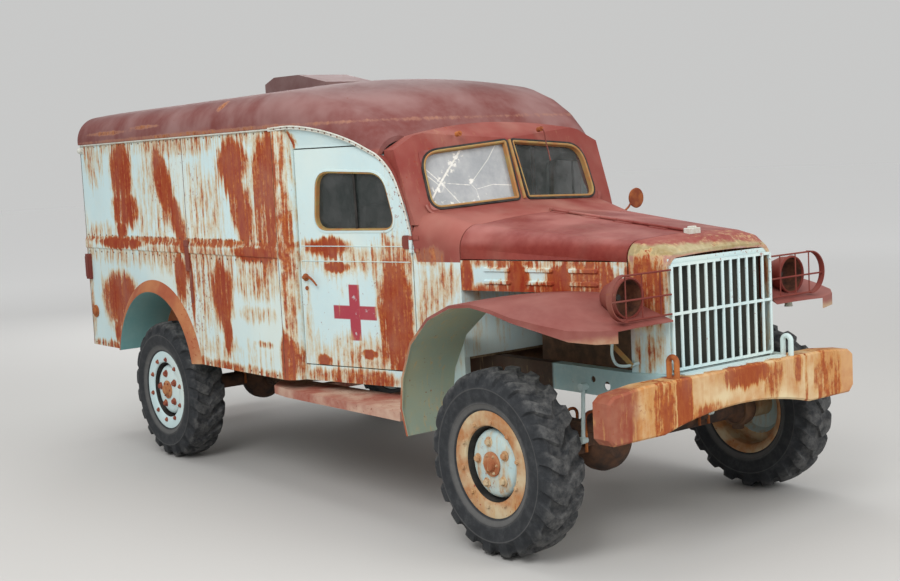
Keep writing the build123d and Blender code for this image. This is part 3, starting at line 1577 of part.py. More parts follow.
seat_half = 215.0
seat_base_z = 960.0
seat_pad = 100.0
seat_back_z = 1480.0
seat_x = 610.0
seat_length = 430.0
seat_corner = 45.0
back_pad = 90.0
back_height = 420.0
back_plate_x = 271.0
back_plate = 18.0
seat_inset = 15.0
with BuildPart() as seat_frames:
    for side in (-1, 1):
        with BuildSketch(Plane.XY.offset(floor_z)):
            with Locations((seat_x - 10, side * seat_y)):
                Rectangle(seat_length - 50, 2 * (seat_half - seat_inset))
        extrude(amount=seat_base_z - floor_z)
        with BuildSketch(Plane.XY.offset(floor_z)):
            with Locations((back_plate_x + back_plate / 2, side * seat_y)):
                Rectangle(back_plate, 2 * (seat_half - 2 * seat_inset))
        extrude(amount=seat_back_z - floor_z)
save(seat_frames, "seat_frames")
with BuildPart() as seat_cushions:
    for side in (-1, 1):
        with BuildSketch(Plane.XY.offset(seat_base_z + fit)):
            with Locations((seat_x, side * seat_y)):
                RectangleRounded(seat_length, 2 * seat_half, seat_corner)
        extrude(amount=seat_pad)
        with BuildSketch(Plane.YZ.offset(back_plate_x + back_plate + fit)):
            with Locations((side * seat_y, seat_back_z + 20 - back_height / 2)):
                RectangleRounded(2 * seat_half, back_height, seat_corner)
        extrude(amount=back_pad)
save(seat_cushions, "seat_cushions")

# Patient benches: board and front panel along each side of the box
bench_in = 592.0
bench_z = 1120.0
bench_board = 24.0
bench_panel = 16.0
bench_end = 60.0
with BuildPart() as patient_benches:
    with BuildSketch(Plane.YZ.offset(box_rear_x + box_wall + bench_end)):
        with BuildLine():
            Polyline(
                (-box_inner + fit, bench_z),
                (-bench_in, bench_z),
                (-bench_in, floor_z),
                (-bench_in - bench_panel, floor_z),
                (-bench_in - bench_panel, bench_z - bench_board),
                (-box_inner + fit, bench_z - bench_board),
                close=True,
            )
        make_face()
    extrude(amount=box_front_x - box_rear_x - box_wall - 2 * bench_end)
    mirror(about=Plane.XZ)
save(patient_benches, "patient_benches")
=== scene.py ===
"""Looks of a rusted army ambulance truck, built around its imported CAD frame.

Everything is in metres in the frame of the CAD: X to the front, Y to the left, Z up.
"""

import json
import logging
import math
from collections.abc import Callable, Sequence
from dataclasses import dataclass, field
from enum import Enum

import bmesh
import bpy
import numpy as np
from mathutils import Matrix, Vector

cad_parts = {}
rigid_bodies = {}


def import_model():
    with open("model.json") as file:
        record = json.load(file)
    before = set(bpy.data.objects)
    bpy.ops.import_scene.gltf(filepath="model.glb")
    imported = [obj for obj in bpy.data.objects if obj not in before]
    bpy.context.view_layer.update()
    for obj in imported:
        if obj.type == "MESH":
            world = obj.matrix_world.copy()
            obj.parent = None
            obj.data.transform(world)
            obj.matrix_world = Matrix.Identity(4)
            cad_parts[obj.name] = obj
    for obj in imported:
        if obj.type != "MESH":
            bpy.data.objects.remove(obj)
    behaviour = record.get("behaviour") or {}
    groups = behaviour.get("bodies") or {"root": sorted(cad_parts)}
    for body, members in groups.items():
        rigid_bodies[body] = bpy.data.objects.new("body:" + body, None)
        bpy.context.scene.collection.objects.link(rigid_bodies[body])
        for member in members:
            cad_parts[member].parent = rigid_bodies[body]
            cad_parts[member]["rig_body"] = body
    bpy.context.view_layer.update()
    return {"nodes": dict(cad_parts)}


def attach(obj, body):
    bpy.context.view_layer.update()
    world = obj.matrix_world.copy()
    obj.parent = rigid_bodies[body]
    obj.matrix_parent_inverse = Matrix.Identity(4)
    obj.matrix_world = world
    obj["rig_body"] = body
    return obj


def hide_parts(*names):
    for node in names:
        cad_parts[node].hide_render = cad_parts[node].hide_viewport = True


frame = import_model()
log = logging.getLogger("ambulance")

Array = np.ndarray
Colour = tuple[float, float, float]
Pair = tuple[float, float]
Point = tuple[float, float, float]
Line = Array | Sequence[Point | Array]
Profile = Array | Sequence[Pair]
Chooser = Callable[[Array, Array], Array]

WHEEL_RADIUS = 0.410
FRONT_AXLE_X = 1.853
REAR_AXLE_X = -1.220
WHEEL_Y = 0.8225
TAPER = 0.24
DOOR_REAR_X = 0.297
HOOD_FRONT_X = 2.193
HOOD_FRONT_HALF = 0.387
BUMPER_X = 2.470
BOX_REAR_X = -2.202
MERGE = 2e-5
FLAT_ANGLE = math.radians(1.0)
BEVEL_ANGLE = math.radians(40.0)
BEVEL_STEPS = 2
TOWARDS = 0.25


def side_y(x: float | Array) -> float | Array:
    """Half width of the tapered cab and hood at a station."""
    return HOOD_FRONT_HALF + TAPER * (HOOD_FRONT_X - x)


# ---------------------------------------------------------------- shader maths


class Sock:
    """A shader socket; the operators on it add Math nodes to its graph."""

    def __init__(self, graph: "Graph", socket: bpy.types.NodeSocket) -> None:
        """Keeps the graph and the socket."""
        self.graph = graph
        self.socket = socket

    def __add__(self, other: "Sock | float") -> "Sock":
        """Sum."""
        return self.graph.math("ADD", self, other)

    __radd__ = __add__

    def __mul__(self, other: "Sock | float") -> "Sock":
        """Product."""
        return self.graph.math("MULTIPLY", self, other)

    __rmul__ = __mul__

    def __sub__(self, other: "Sock | float") -> "Sock":
        """Difference."""
        return self.graph.math("SUBTRACT", self, other)

    def __rsub__(self, other: "Sock | float") -> "Sock":
        """Difference from a number."""
        return self.graph.math("SUBTRACT", other, self)

    def __truediv__(self, other: "Sock | float") -> "Sock":
        """Quotient."""
        return self.graph.math("DIVIDE", self, other)

    def __rtruediv__(self, other: "Sock | float") -> "Sock":
        """Quotient of a number by this value."""
        return self.graph.math("DIVIDE", other, self)

    def __pow__(self, other: float) -> "Sock":
        """Power."""
        return self.graph.math("POWER", self, other)

    def __abs__(self) -> "Sock":
        """Magnitude."""
        return self.graph.math("ABSOLUTE", self, 0.0)

    def top(self, other: "Sock | float") -> "Sock":
        """Larger of two values."""
        return self.graph.math("MAXIMUM", self, other)

    def low(self, other: "Sock | float") -> "Sock":
        """Smaller of two values."""
        return self.graph.math("MINIMUM", self, other)

    def step(self, start: float, end: float) -> "Sock":
        """Smooth step from 0 at start to 1 at end; start may be the larger."""
        if start < end:
            return self.graph.ramp(self, start, end)
        return 1.0 - self.graph.ramp(self, end, start)


class Graph:
    """One material and the nodes of its Principled shader."""

    def __init__(self, name: str) -> None:
        """Makes an empty material with an output and a Principled node.

        Args:
            name: the material's name.
        """
        self.material = bpy.data.materials.new(name)
        self.material.use_nodes = True
        self.tree = self.material.node_tree
        self.tree.nodes.clear()
        self.output = self.tree.nodes.new("ShaderNodeOutputMaterial")
        self.shader = self.tree.nodes.new("ShaderNodeBsdfPrincipled")
        self.tree.links.new(self.shader.outputs[0], self.output.inputs[0])
        self._place: Sock | None = None
        self._axes: list[Sock] | None = None

    def feed(self, node: bpy.types.Node, key: str | int, value: object) -> None:
        """Sets one input of a node to a value, or links it.

        Args:
            node: the node that takes the input.
            key: name or number of the input.
            value: a Sock, a number, or a tuple.
        """
        if isinstance(value, Sock):
            self.tree.links.new(value.socket, node.inputs[key])
        elif isinstance(value, tuple) and len(value) == 3 and node.inputs[key].type == "RGBA":
            node.inputs[key].default_value = (*value, 1.0)
        else:
            node.inputs[key].default_value = value

    def node(self, kind: str, settings: dict[str, object], inputs: dict, out: str | int = 0) -> Sock:
        """Adds any node.

        Args:
            kind: type name of the node.
            settings: its properties, set before its inputs.
            inputs: values or links by input name or number.
            out: the output that is handed back.

        Returns:
            The chosen output.
        """
        made = self.tree.nodes.new(kind)
        for key, value in settings.items():
            setattr(made, key, value)
        for key, value in inputs.items():
            self.feed(made, key, value)
        return Sock(self, made.outputs[out])

    def math(self, operation: str, a: Sock | float, b: Sock | float) -> Sock:
        """Math node on one or two values."""
        return self.node("ShaderNodeMath", {"operation": operation}, {0: a, 1: b})

    def ramp(self, value: Sock, low: float, high: float) -> Sock:
        """Smooth step between two values through a Map Range node."""
        return self.node(
            "ShaderNodeMapRange",
            {"interpolation_type": "SMOOTHSTEP"},
            {"Value": value, "From Min": low, "From Max": high},
        )

    def place(self) -> Sock:
        """Object coordinates."""
        if self._place is None:
            self._place = self.node("ShaderNodeTexCoord", {}, {}, "Object")
        return self._place

    def axes(self) -> list[Sock]:
        """X, Y and Z of the object coordinates."""
        if self._axes is None:
            split = self.tree.nodes.new("ShaderNodeSeparateXYZ")
            self.tree.links.new(self.place().socket, split.inputs[0])
            self._axes = [Sock(self, split.outputs[i]) for i in range(3)]
        return self._axes

    def stretch(self, scale: Point, vector: Sock | None = None) -> Sock:
        """Object coordinates times a scale for each axis."""
        return self.node(
            "ShaderNodeVectorMath", {"operation": "MULTIPLY"}, {0: vector or self.place(), 1: scale}
        )

    def noise(
        self, scale: float, detail: float = 4.0, vector: Sock | None = None, rough: float = 0.55,
        warp: float = 0.0,
    ) -> Sock:
        """Noise of about 0 to 1 on the object coordinates or a vector."""
        return self.node(
            "ShaderNodeTexNoise",
            {},
            {
                "Vector": vector or self.place(), "Scale": scale, "Detail": detail,
                "Roughness": rough, "Distortion": warp,
            },
        )

    def mix(self, factor: Sock | float, a: Sock | Colour, b: Sock | Colour) -> Sock:
        """Colour between a and b.

        Args:
            factor: share of b.
            a: first colour.
            b: second colour.

        Returns:
            The mixed colour.
        """
        made = self.tree.nodes.new("ShaderNodeMix")
        made.data_type = "RGBA"
        for index, value in ((0, factor), (6, a), (7, b)):
            if isinstance(value, Sock):
                self.tree.links.new(value.socket, made.inputs[index])
            elif isinstance(value, tuple):
                made.inputs[index].default_value = (*value, 1.0)
            else:
                made.inputs[index].default_value = value
        return Sock(self, made.outputs[2])

    def bump(self, height: Sock, strength: float, distance: float) -> Sock:
        """Bump from a height."""
        return self.node(
            "ShaderNodeBump", {}, {"Height": height, "Strength": strength, "Distance": distance}
        )

    def finish(self, **inputs: object) -> bpy.types.Material:
        """Feeds the Principled shader and hands back the material."""
        for key, value in inputs.items():
            self.feed(self.shader, key.replace("_", " "), value)
        return self.material


# ---------------------------------------------------------------- finishes


class Across(Enum):
    """Axis that runs along a wall, across its streaks."""

    X = 0
    Y = 1


@dataclass(frozen=True)
class Stain:
    """One rust stain: where it is along the wall and up it, its half sizes, lean and weight."""

    along: float
    z: float
    half: float
    tall: float
    lean: float = 0.0
    weight: float = 1.0
    wobble: float = 0.035


@dataclass(frozen=True)
class Zone:
    """Another paint past a line: mask = smooth step of along . place from start to end."""

    along: Point
    start: float
    end: float
    colour: Colour
    faded: Colour
    weight: float = 1.0
    wobble: float = 0.0


@dataclass(frozen=True)
class OldPaint:
    """Faded paint over rust: fading, zones of other paint, stains, runs and chips.

    The paint fades between two tones. A level of rust is the largest of all stains, each a soft
    ellipse with a tail below it, plus fine streaks drawn out along Z and ragged noise. Rising
    levels pass from paint through a tan halo and orange to the dark core.
    """

    name: str
    colour: Colour
    faded: Colour
    core: Colour = (0.262, 0.027, 0.009)
    orange: Colour = (0.480, 0.160, 0.040)
    halo: Colour = (0.580, 0.430, 0.215)
    runs: float = 0.5
    chips: float = 0.5
    wear: float = 0.0
    patch: float = 1.7
    striped: float = 0.0
    dust: float = 0.12
    dust_colour: Colour = (0.46, 0.40, 0.30)
    across: Across = Across.X
    stains: tuple[Stain, ...] = ()
    cross: tuple[float, float, float, float] | None = None
    zones: tuple[Zone, ...] = ()
    pillar: tuple[Colour, Colour] | None = None
    rough: float = 0.62
    relief: float = 0.25

    def _stain(self, g: Graph, wave: Sock, fringe: Sock, stain: Stain) -> Sock:
        """Level of one stain, 1 in its middle and falling past its edge; its foot runs out long.

        Args:
            g: the graph it goes in.
            wave: noise that breaks up its edge.
            fringe: noise in upright columns, which run its head and foot out into streaks.
            stain: its place and size.

        Returns:
            A level from 0 to its weight.
        """
        along, up = g.axes()[self.across.value], g.axes()[2]
        rise = up - stain.z
        reach = (along - stain.along - rise * stain.lean + (wave - 0.5) * stain.wobble) / stain.half
        height = rise.top(0.0) * (1.0 / stain.tall) - rise.low(0.0) * (0.72 / stain.tall)
        height = (height + (fringe - 0.5) * min(2.6, 0.16 / stain.tall)).top(0.0)
        far = reach * reach + height * height
        return far.step(3.3, 0.1) * stain.weight

    def build(self) -> bpy.types.Material:
        """Makes the material.

        Returns:
            The material.
        """
        g = Graph(self.name)
        broad = g.noise(self.patch, 3.0)
        grain = g.noise(38.0, 5.0)
        streak = g.noise(5.5, 6.0, g.stretch((8.0, 8.0, 0.42)), rough=0.66)
        paint = g.mix(broad.step(0.35, 0.7), self.colour, self.faded)
        paint = g.mix(grain.step(0.3, 0.75) * 0.22, paint, self.faded)
        if self.striped:
            paint = g.mix(streak.step(0.42, 0.66) * self.striped, paint, self.faded)
        for zone in self.zones:
            paint = g.mix(*self._zone(g, grain, broad, zone, paint))
        ahead = None if self.pillar is None else self._ahead_of_drip_rail(g)
        if ahead is not None:
            paint = g.mix(ahead, paint, g.mix(broad.step(0.35, 0.7), *self.pillar))
        if self.cross is not None:
            paint = self._red_cross(g, paint)
        ragged = g.noise(24.0, 7.0, g.stretch((1.0, 1.0, 0.45)), rough=0.72)
        spot = g.noise(46.0, 6.0, rough=0.72)
        zone = g.noise(1.25, 4.0, g.stretch((1.5, 1.5, 0.8)), rough=0.6)
        level = (zone - 0.5) * 0.75 + (0.12 * self.runs + 0.05 + self.wear)
        if self.stains:
            wave = g.noise(7.0, 5.0, g.stretch((1.0, 1.0, 0.6)), rough=0.7)
            fringe = g.noise(17.0, 5.0, g.stretch((1.0, 1.0, 0.05)), rough=0.75)
            deep = None
            for stain in self.stains:
                one = self._stain(g, wave, fringe, stain)
                deep = one if deep is None else deep.top(one)
            level = level * (1.0 - deep) + deep * 0.80
        level = level + (streak - 0.5) * (0.75 + 0.8 * self.runs) + (ragged - 0.5) * 0.85
        speck = (spot + zone * 0.5).step(0.97 - 0.12 * self.chips, 1.03 - 0.09 * self.chips)
        tan = level.step(0.22, 0.52) * 0.75
        if ahead is not None:
            tan = tan * (1.0 - ahead * 0.8)
        orange = level.step(0.42, 0.64).top(speck * 0.85)
        core = level.step(0.58, 0.80).top(speck * (ragged - 0.1).step(0.40, 0.55) * 0.7)
        colour = g.mix(tan, paint, self.halo)
        colour = g.mix(orange, colour, g.mix(spot.step(0.35, 0.65), self.orange, self.core))
        brown = g.mix(g.noise(2.6, 3.0).step(0.46, 0.62) * 0.45, self.core, (0.300, 0.105, 0.078))
        colour = g.mix(core, colour, g.mix(ragged.step(0.42, 0.66) * 0.3, brown, self.orange))
        grime = g.noise(3.2, 5.0, g.stretch((1.0, 1.0, 0.6))).step(0.42, 0.75)
        colour = g.mix(grime * self.dust, colour, self.dust_colour)
        height = grain * 0.4 - orange * 0.6 + g.noise(90.0, 3.0) * orange * 0.7
        return g.finish(
            Base_Color=colour,
            Roughness=orange * 0.2 + self.rough,
            Specular_IOR_Level=0.22,
            Normal=g.bump(height, self.relief, 0.004),
        )

    def _zone(self, g: Graph, grain: Sock, broad: Sock, zone: Zone, under: Sock) -> tuple[Sock, Sock, Sock]:
        """Mask, colour below and colour above of one zone.

        Args:
            g: the graph it goes in.
            grain: fine noise.
            broad: wide noise, which fades the zone's paint with the grain.
            zone: where it lies, and its paint.
            under: the paint below.

        Returns:
            The three arguments of a mix.
        """
        x, y, z = g.axes()
        reach = x * zone.along[0] + y * zone.along[1] + z * zone.along[2]
        if zone.wobble:
            reach = reach + (g.noise(6.0, 5.0, rough=0.7) - 0.5) * zone.wobble
        over = g.mix((broad + grain * 0.4).step(0.5, 0.95), zone.colour, zone.faded)
        return reach.step(zone.start, zone.end) * zone.weight, under, over

    def _ahead_of_drip_rail(self, g: Graph) -> Sock:
        """Mask of the windscreen's surround: above the belt seam and ahead of the bent drip rail.

        Args:
            g: the graph it goes in.

        Returns:
            A mask, 1 on the surround.
        """
        x, _, z = g.axes()
        rail = 0.988 + (1.530 - z).top(0.0) * 0.245 - (z - 1.530).top(0.0) * 0.628
        return (x - rail).step(-0.002, 0.002) * z.step(1.232, 1.236)

    def _red_cross(self, g: Graph, under: Sock) -> Sock:
        """Paints a red cross over the paint.

        Args:
            g: the graph it goes in.
            under: the paint below.

        Returns:
            The colour with the cross, whose four numbers are centre along X and Z, half length
            and half bar.
        """
        middle, level, reach, bar = self.cross
        x, _, z = g.axes()
        dx, dz = abs(x - middle), abs(z - level)
        soft = 0.003
        wide = dx.step(reach + soft, reach - soft) * dz.step(bar + soft, bar - soft)
        tall = dz.step(reach + soft, reach - soft) * dx.step(bar + soft, bar - soft)
        worn = g.noise(30.0, 5.0, rough=0.7).step(0.74, 0.62) * 0.95
        return g.mix(wide.top(tall) * worn, under, (0.36, 0.014, 0.036))


@dataclass(frozen=True)
class Rubber:
    """Old tyre rubber, dusty brown on the tread and paler on the ring of the wall.

    Dust grows with the distance from the wheel's centre, broken up by noise.
    """

    name: str
    centre_x: float
    centre_z: float = WHEEL_RADIUS

    def build(self) -> bpy.types.Material:
        """Makes the material.

        Returns:
            The material.
        """
        g = Graph(self.name)
        x, _, z = g.axes()
        dx, dz = x - self.centre_x, z - self.centre_z
        far = (dx * dx + dz * dz) ** 0.5
        tread = far.step(0.368, 0.408)
        ring = far.step(0.238, 0.246) * far.step(0.280, 0.256)
        lines = far.step(0.329, 0.331) * far.step(0.336, 0.334)
        cloud = g.noise(26.0, 6.0, rough=0.7)
        dusty = tread * 0.42 * cloud.step(0.30, 0.70) + ring * 0.40 + lines * 0.2 + cloud.step(0.45, 0.8) * 0.10
        colour = g.mix(cloud.step(0.3, 0.8), (0.013, 0.015, 0.018), (0.026, 0.029, 0.033))
        colour = g.mix(dusty, colour, (0.20, 0.195, 0.185))
        fine = g.noise(120.0, 4.0)
        return g.finish(
            Base_Color=colour, Roughness=0.82, Normal=g.bump(fine + cloud, 0.25, 0.002)
        )


@dataclass(frozen=True)
class Plain:
    """One worn material: two tones by noise, a roughness, and fine relief."""

    name: str
    colour: Colour
    second: Colour
    rough: float = 0.6
    metal: float = 0.0
    scale: float = 12.0
    relief: float = 0.2
    stretch: Point = (1.0, 1.0, 1.0)

    def build(self) -> bpy.types.Material:
        """Makes the material.

        Returns:
            The material.
        """
        g = Graph(self.name)
        cloud = g.noise(self.scale, 6.0, g.stretch(self.stretch), rough=0.65)
        return g.finish(
            Base_Color=g.mix(cloud.step(0.34, 0.68), self.colour, self.second),
            Roughness=self.rough,
            Metallic=self.metal,
            Specular_IOR_Level=0.28,
            Normal=g.bump(g.noise(self.scale * 7.0, 4.0) + cloud, self.relief, 0.002),
        )


@dataclass(frozen=True)
class Crack:
    """One crack of a pane as a straight run in the Y Z view, with its half width and raggedness."""

    start: Pair
    end: Pair
    half: float = 0.0016
    ragged: float = 0.006


@dataclass(frozen=True)
class OldGlass:
    """Dusty glass; its alpha is low where clean and high where dust, cracks or flakes lie.

    A crack is the distance to a run, less noise, under its half width. Flakes are noise over a
    threshold that falls towards the pane's foot.
    """

    name: str
    tint: Colour
    clear: float = 0.28
    dust: float = 0.25
    haze: float = 0.26
    cracks: tuple[Crack, ...] = ()
    flakes_below: float | None = None

    def _crack(self, g: Graph, wave: Sock, crack: Crack) -> Sock:
        """Mask of one crack.

        Args:
            g: the graph it goes in.
            wave: noise that breaks up its edge.
            crack: its ends and width.

        Returns:
            A mask, 1 on the crack.
        """
        _, y, z = g.axes()
        (ay, az), (by, bz) = crack.start, crack.end
        run = math.hypot(by - ay, bz - az)
        cy, cz = (by - ay) / run, (bz - az) / run
        py, pz = y - ay, z - az
        along = (py * cy + pz * cz).top(0.0).low(run)
        dy, dz = py - along * cy, pz - along * cz
        far = (dy * dy + dz * dz) ** 0.5
        line = (far - (wave - 0.5) * crack.ragged).step(crack.half * 1.4, crack.half * 0.7)
        if crack.half < 0.003:
            return line
        blobs = g.noise(34.0, 4.0, rough=0.6).step(0.52, 0.57) * far.step(0.034, 0.016)
        return line.top(blobs)

    def build(self) -> bpy.types.Material:
        """Makes the material.

        Returns:
            The material.
        """
        g = Graph(self.name)
        _, _, z = g.axes()
        cloud = g.noise(5.0, 6.0, rough=0.7)
        film = cloud.step(0.3, 0.8) * self.dust + self.clear
        colour = g.mix(cloud.step(0.3, 0.7), self.tint, tuple(0.5 * v + self.haze for v in self.tint))
        white = None
        if self.cracks:
            wave = g.noise(42.0, 5.0, rough=0.8)
            for crack in self.cracks:
                one = self._crack(g, wave, crack)
                white = one if white is None else white.top(one)
        if self.flakes_below is not None:
            rise = (z - self.flakes_below) * 2.6
            flake = (g.noise(21.0, 6.0, rough=0.72) - rise.top(0.0)).step(0.47, 0.52)
            white = flake if white is None else white.top(flake)
        if white is not None:
            film = film.top(white * 0.97)
            colour = g.mix(white, colour, g.mix(g.noise(70.0, 4.0), (0.55, 0.52, 0.44), (0.86, 0.87, 0.84)))
        return g.finish(Base_Color=colour, Roughness=0.22, Alpha=film, IOR=1.45)


# ---------------------------------------------------------------- meshes


def grid_faces(rows: int, columns: int, round_rows: bool = False, round_columns: bool = False) -> Array:
    """Quads of a grid whose points are numbered row by row.

    Args:
        rows: number of rows.
        columns: number of columns.
        round_rows: joins the last row to the first.
        round_columns: joins the last column to the first.

    Returns:
        An array of four point numbers for each face.
    """
    r = np.arange(rows if round_rows else rows - 1)[:, None]
    c = np.arange(columns if round_columns else columns - 1)[None, :]
    r2, c2 = (r + 1) % rows, (c + 1) % columns
    quads = np.stack([r * columns + c, r * columns + c2, r2 * columns + c2, r2 * columns + c], -1)
    return quads.reshape(-1, 4)


@dataclass
class Shape:
    """Points and faces of one closed form; faces are lists of point numbers."""

    points: Array
    faces: list = field(default_factory=list)

    def moved(self, by: Point) -> "Shape":
        """The shape moved."""
        return Shape(self.points + np.array(by), self.faces)

    def mirrored(self) -> "Shape":
        """The shape's image on the other side of the truck."""
        return Shape(self.points * np.array([1, -1, 1]), [tuple(f)[::-1] for f in self.faces])


def joined(shapes: list[Shape]) -> Shape:
    """All shapes as one.

    Args:
        shapes: the shapes.

    Returns:
        One shape that holds them all.
    """
    points, faces, base = [], [], 0
    for shape in shapes:
        points.append(shape.points)
        faces += [tuple(int(i) + base for i in f) for f in shape.faces]
        base += len(shape.points)
    return Shape(np.concatenate(points), faces)


def both(shape: Shape) -> Shape:
    """A shape and its mirror image."""
    return joined([shape, shape.mirrored()])


def brick(low: Point, high: Point) -> Shape:
    """A box between two corners.

    Args:
        low: lowest corner.
        high: highest corner.

    Returns:
        The box, whose corner numbers' bits say which end of X, Y and Z they take.
    """
    lo, hi = np.array(low, float), np.array(high, float)
    bits = np.array([[i & 1, i >> 1 & 1, i >> 2 & 1] for i in range(8)])
    faces = [(0, 2, 3, 1), (4, 5, 7, 6), (0, 1, 5, 4), (2, 6, 7, 3), (0, 4, 6, 2), (1, 3, 7, 5)]
    return Shape(lo + bits * (hi - lo), faces)


def prism(outline: Array, origin: Array, across: Array, up: Array, depth: float) -> Shape:
    """A flat outline pushed along its normal: point = origin + a across + b up, then + depth normal.

    Args:
        outline: rows of (a, b), anticlockwise seen against the push.
        origin: where a and b are nought.
        across: unit vector of a.
        up: unit vector of b.
        depth: how far it is pushed along across x up.

    Returns:
        The closed prism.
    """
    outline = np.asarray(outline, float)
    n = len(outline)
    normal = np.cross(across, up)
    flat = np.asarray(origin) + outline[:, :1] * across + outline[:, 1:] * up
    points = np.concatenate([flat, flat + normal * depth])
    faces: list = [tuple(range(n))[::-1], tuple(range(n, 2 * n))]
    ring = np.arange(n)
    sides = np.stack([ring, (ring + 1) % n, (ring + 1) % n + n, ring + n], -1)
    return Shape(points, faces + [tuple(f) for f in sides])


def tube(path: Line, radius: float | Sequence[float] | Array, around: int = 10, flat: float = 1.0) -> Shape:
    """A round or flattened bar along a path: point = path + radius (cos side + sin rise).

    Side is square to the path and to a fixed direction, rise is square to both.

    Args:
        path: rows of points.
        radius: one radius or one for each point.
        around: points round the bar.
        flat: share of the radius along rise.

    Returns:
        The closed bar with flat ends.
    """
    path = np.asarray(path, float)
    run = np.gradient(path, axis=0)
    run /= np.linalg.norm(run, axis=1, keepdims=True)
    whole = path[-1] - path[0]
    fixed = np.eye(3)[int(np.argmin(np.abs(whole)))]
    side = np.cross(run, fixed)
    side /= np.maximum(np.linalg.norm(side, axis=1, keepdims=True), 1e-9)
    rise = np.cross(side, run)
    angle = np.linspace(0, math.tau, around, endpoint=False)
    reach = np.broadcast_to(np.asarray(radius, float), (len(path),))[:, None, None]
    ring = np.cos(angle)[None, :, None] * side[:, None] + flat * np.sin(angle)[None, :, None] * rise[:, None]
    points = (path[:, None] + reach * ring).reshape(-1, 3)
    faces = [tuple(f) for f in grid_faces(len(path), around, False, True)]
    last = (len(path) - 1) * around
    faces += [tuple(range(around))[::-1], tuple(range(last, last + around))]
    return Shape(points, faces)


def lathe(profile: Profile, around: int, centre: Point, axis: str = "Y") -> Shape:
    """A closed profile turned round an axis: point = centre + radius (cos, sin) + height axis.

    Args:
        profile: rows of (radius, height), anticlockwise with the axis to the left.
        around: points round the axis.
        centre: where height is nought.
        axis: X, Y or Z.

    Returns:
        The closed ring or disc.
    """
    profile = np.asarray(profile, float)
    angle = np.linspace(0, math.tau, around, endpoint=False)
    radius, height = profile[:, 0][None], np.broadcast_to(profile[:, 1], (around, len(profile)))
    first, second = np.cos(angle)[:, None] * radius, np.sin(angle)[:, None] * radius
    order = {"X": (height, first, second), "Y": (second, height, first), "Z": (first, second, height)}
    points = np.stack(order[axis], -1).reshape(-1, 3) + np.array(centre)
    faces = grid_faces(around, len(profile), True, True)
    return Shape(points, [tuple(f) for f in faces])


def bolts(places: Line, axis: Point, radius: float, height: float, sides: int = 6) -> Shape:
    """Bolt heads: a low prism with a bevelled top at each place, standing along the axis.

    Each head has three rings of radius (cos side + sin rise): foot, shoulder at 0.7 of the height,
    and a top of 0.75 of the radius.

    Args:
        places: where the heads stand.
        axis: the way they point.
        radius: radius over the corners.
        height: how far they stand out.
        sides: corners of each head.

    Returns:
        All the heads as one shape.
    """
    out = np.array(axis, float)
    out /= np.linalg.norm(out)
    side = np.cross(out, np.eye(3)[int(np.argmin(np.abs(out)))])
    side /= np.linalg.norm(side)
    rise = np.cross(out, side)
    angle = np.linspace(0, math.tau, sides, endpoint=False)
    ring = np.cos(angle)[:, None] * side + np.sin(angle)[:, None] * rise
    one = np.concatenate([ring * radius, ring * radius + out * height * 0.7, ring * radius * 0.75 + out * height])
    faces = [tuple(f) for f in grid_faces(3, sides, False, True)]
    faces += [tuple(range(sides))[::-1], tuple(range(2 * sides, 3 * sides))]
    return joined([Shape(one + np.asarray(p), faces) for p in places])


def smooth_table(table: Array, at: Array) -> Array:
    """Rows of a table read between its stations along a smooth curve.

    Each column is a cubic whose slopes at the stations are the mean of their neighbours' slopes.

    Args:
        table: first column the station, rising; the others values.
        at: stations to read.

    Returns:
        One row for each station, without the station.
    """
    table = np.asarray(table, float)
    x, v = table[:, 0], table[:, 1:]
    slope = np.diff(v, axis=0) / np.diff(x)[:, None]
    ends = np.concatenate([slope[:1], (slope[1:] + slope[:-1]) / 2, slope[-1:]])
    i = np.clip(np.searchsorted(x, at, side="right") - 1, 0, len(x) - 2)
    h = (x[i + 1] - x[i])[:, None]
    t = ((at - x[i]) / (x[i + 1] - x[i]))[:, None]
    return (
        (2 * t**3 - 3 * t**2 + 1) * v[i] + (t**3 - 2 * t**2 + t) * h * ends[i]
        + (-2 * t**3 + 3 * t**2) * v[i + 1] + (t**3 - t**2) * h * ends[i + 1]
    )


def add_bevel(made: bpy.types.Object, width: float) -> None:
    """Bevels an object's sharp edges.

    Args:
        made: the object.
        width: the bevel's width.
    """
    cut = made.modifiers.new("edge", "BEVEL")
    cut.width = width
    cut.segments = BEVEL_STEPS
    cut.limit_method = "ANGLE"
    cut.angle_limit = BEVEL_ANGLE
    cut.harden_normals = True


def place_shape(
    name: str, shape: Shape, material: bpy.types.Material, body: str = "body", smooth: float | None = 35.0,
    replaces: tuple[str, ...] = (), bevel: float = 0.0,
) -> bpy.types.Object:
    """Makes an object from a shape, dresses it and lets it ride on a body.

    Args:
        name: the piece's name.
        shape: points and faces.
        material: its finish.
        body: the CAD body it moves with.
        smooth: largest angle in degrees that is shaded smooth, or None for flat.
        replaces: the CAD nodes it stands for.
        bevel: width of a bevel on its sharp edges, or 0.

    Returns:
        The object.
    """
    mesh = bpy.data.meshes.new(name)
    mesh.from_pydata(shape.points.tolist(), [], shape.faces)
    work = bmesh.new()
    work.from_mesh(mesh)
    bmesh.ops.remove_doubles(work, verts=work.verts, dist=1e-6)
    bmesh.ops.recalc_face_normals(work, faces=work.faces)
    work.to_mesh(mesh)
    work.free()
    mesh.update()
    if smooth is not None:
        mesh.polygons.foreach_set("use_smooth", np.ones(len(mesh.polygons), bool))
        mesh.set_sharp_from_angle(angle=math.radians(smooth))
    made = bpy.data.objects.new(name, mesh)
    bpy.context.scene.collection.objects.link(made)
    mesh.materials.append(material)
    if bevel:
        add_bevel(made, bevel)
    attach(made, body)
    if replaces:
        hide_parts(*replaces)
    log.info("%s: %d points, %d faces", name, len(shape.points), len(shape.faces))
    return made


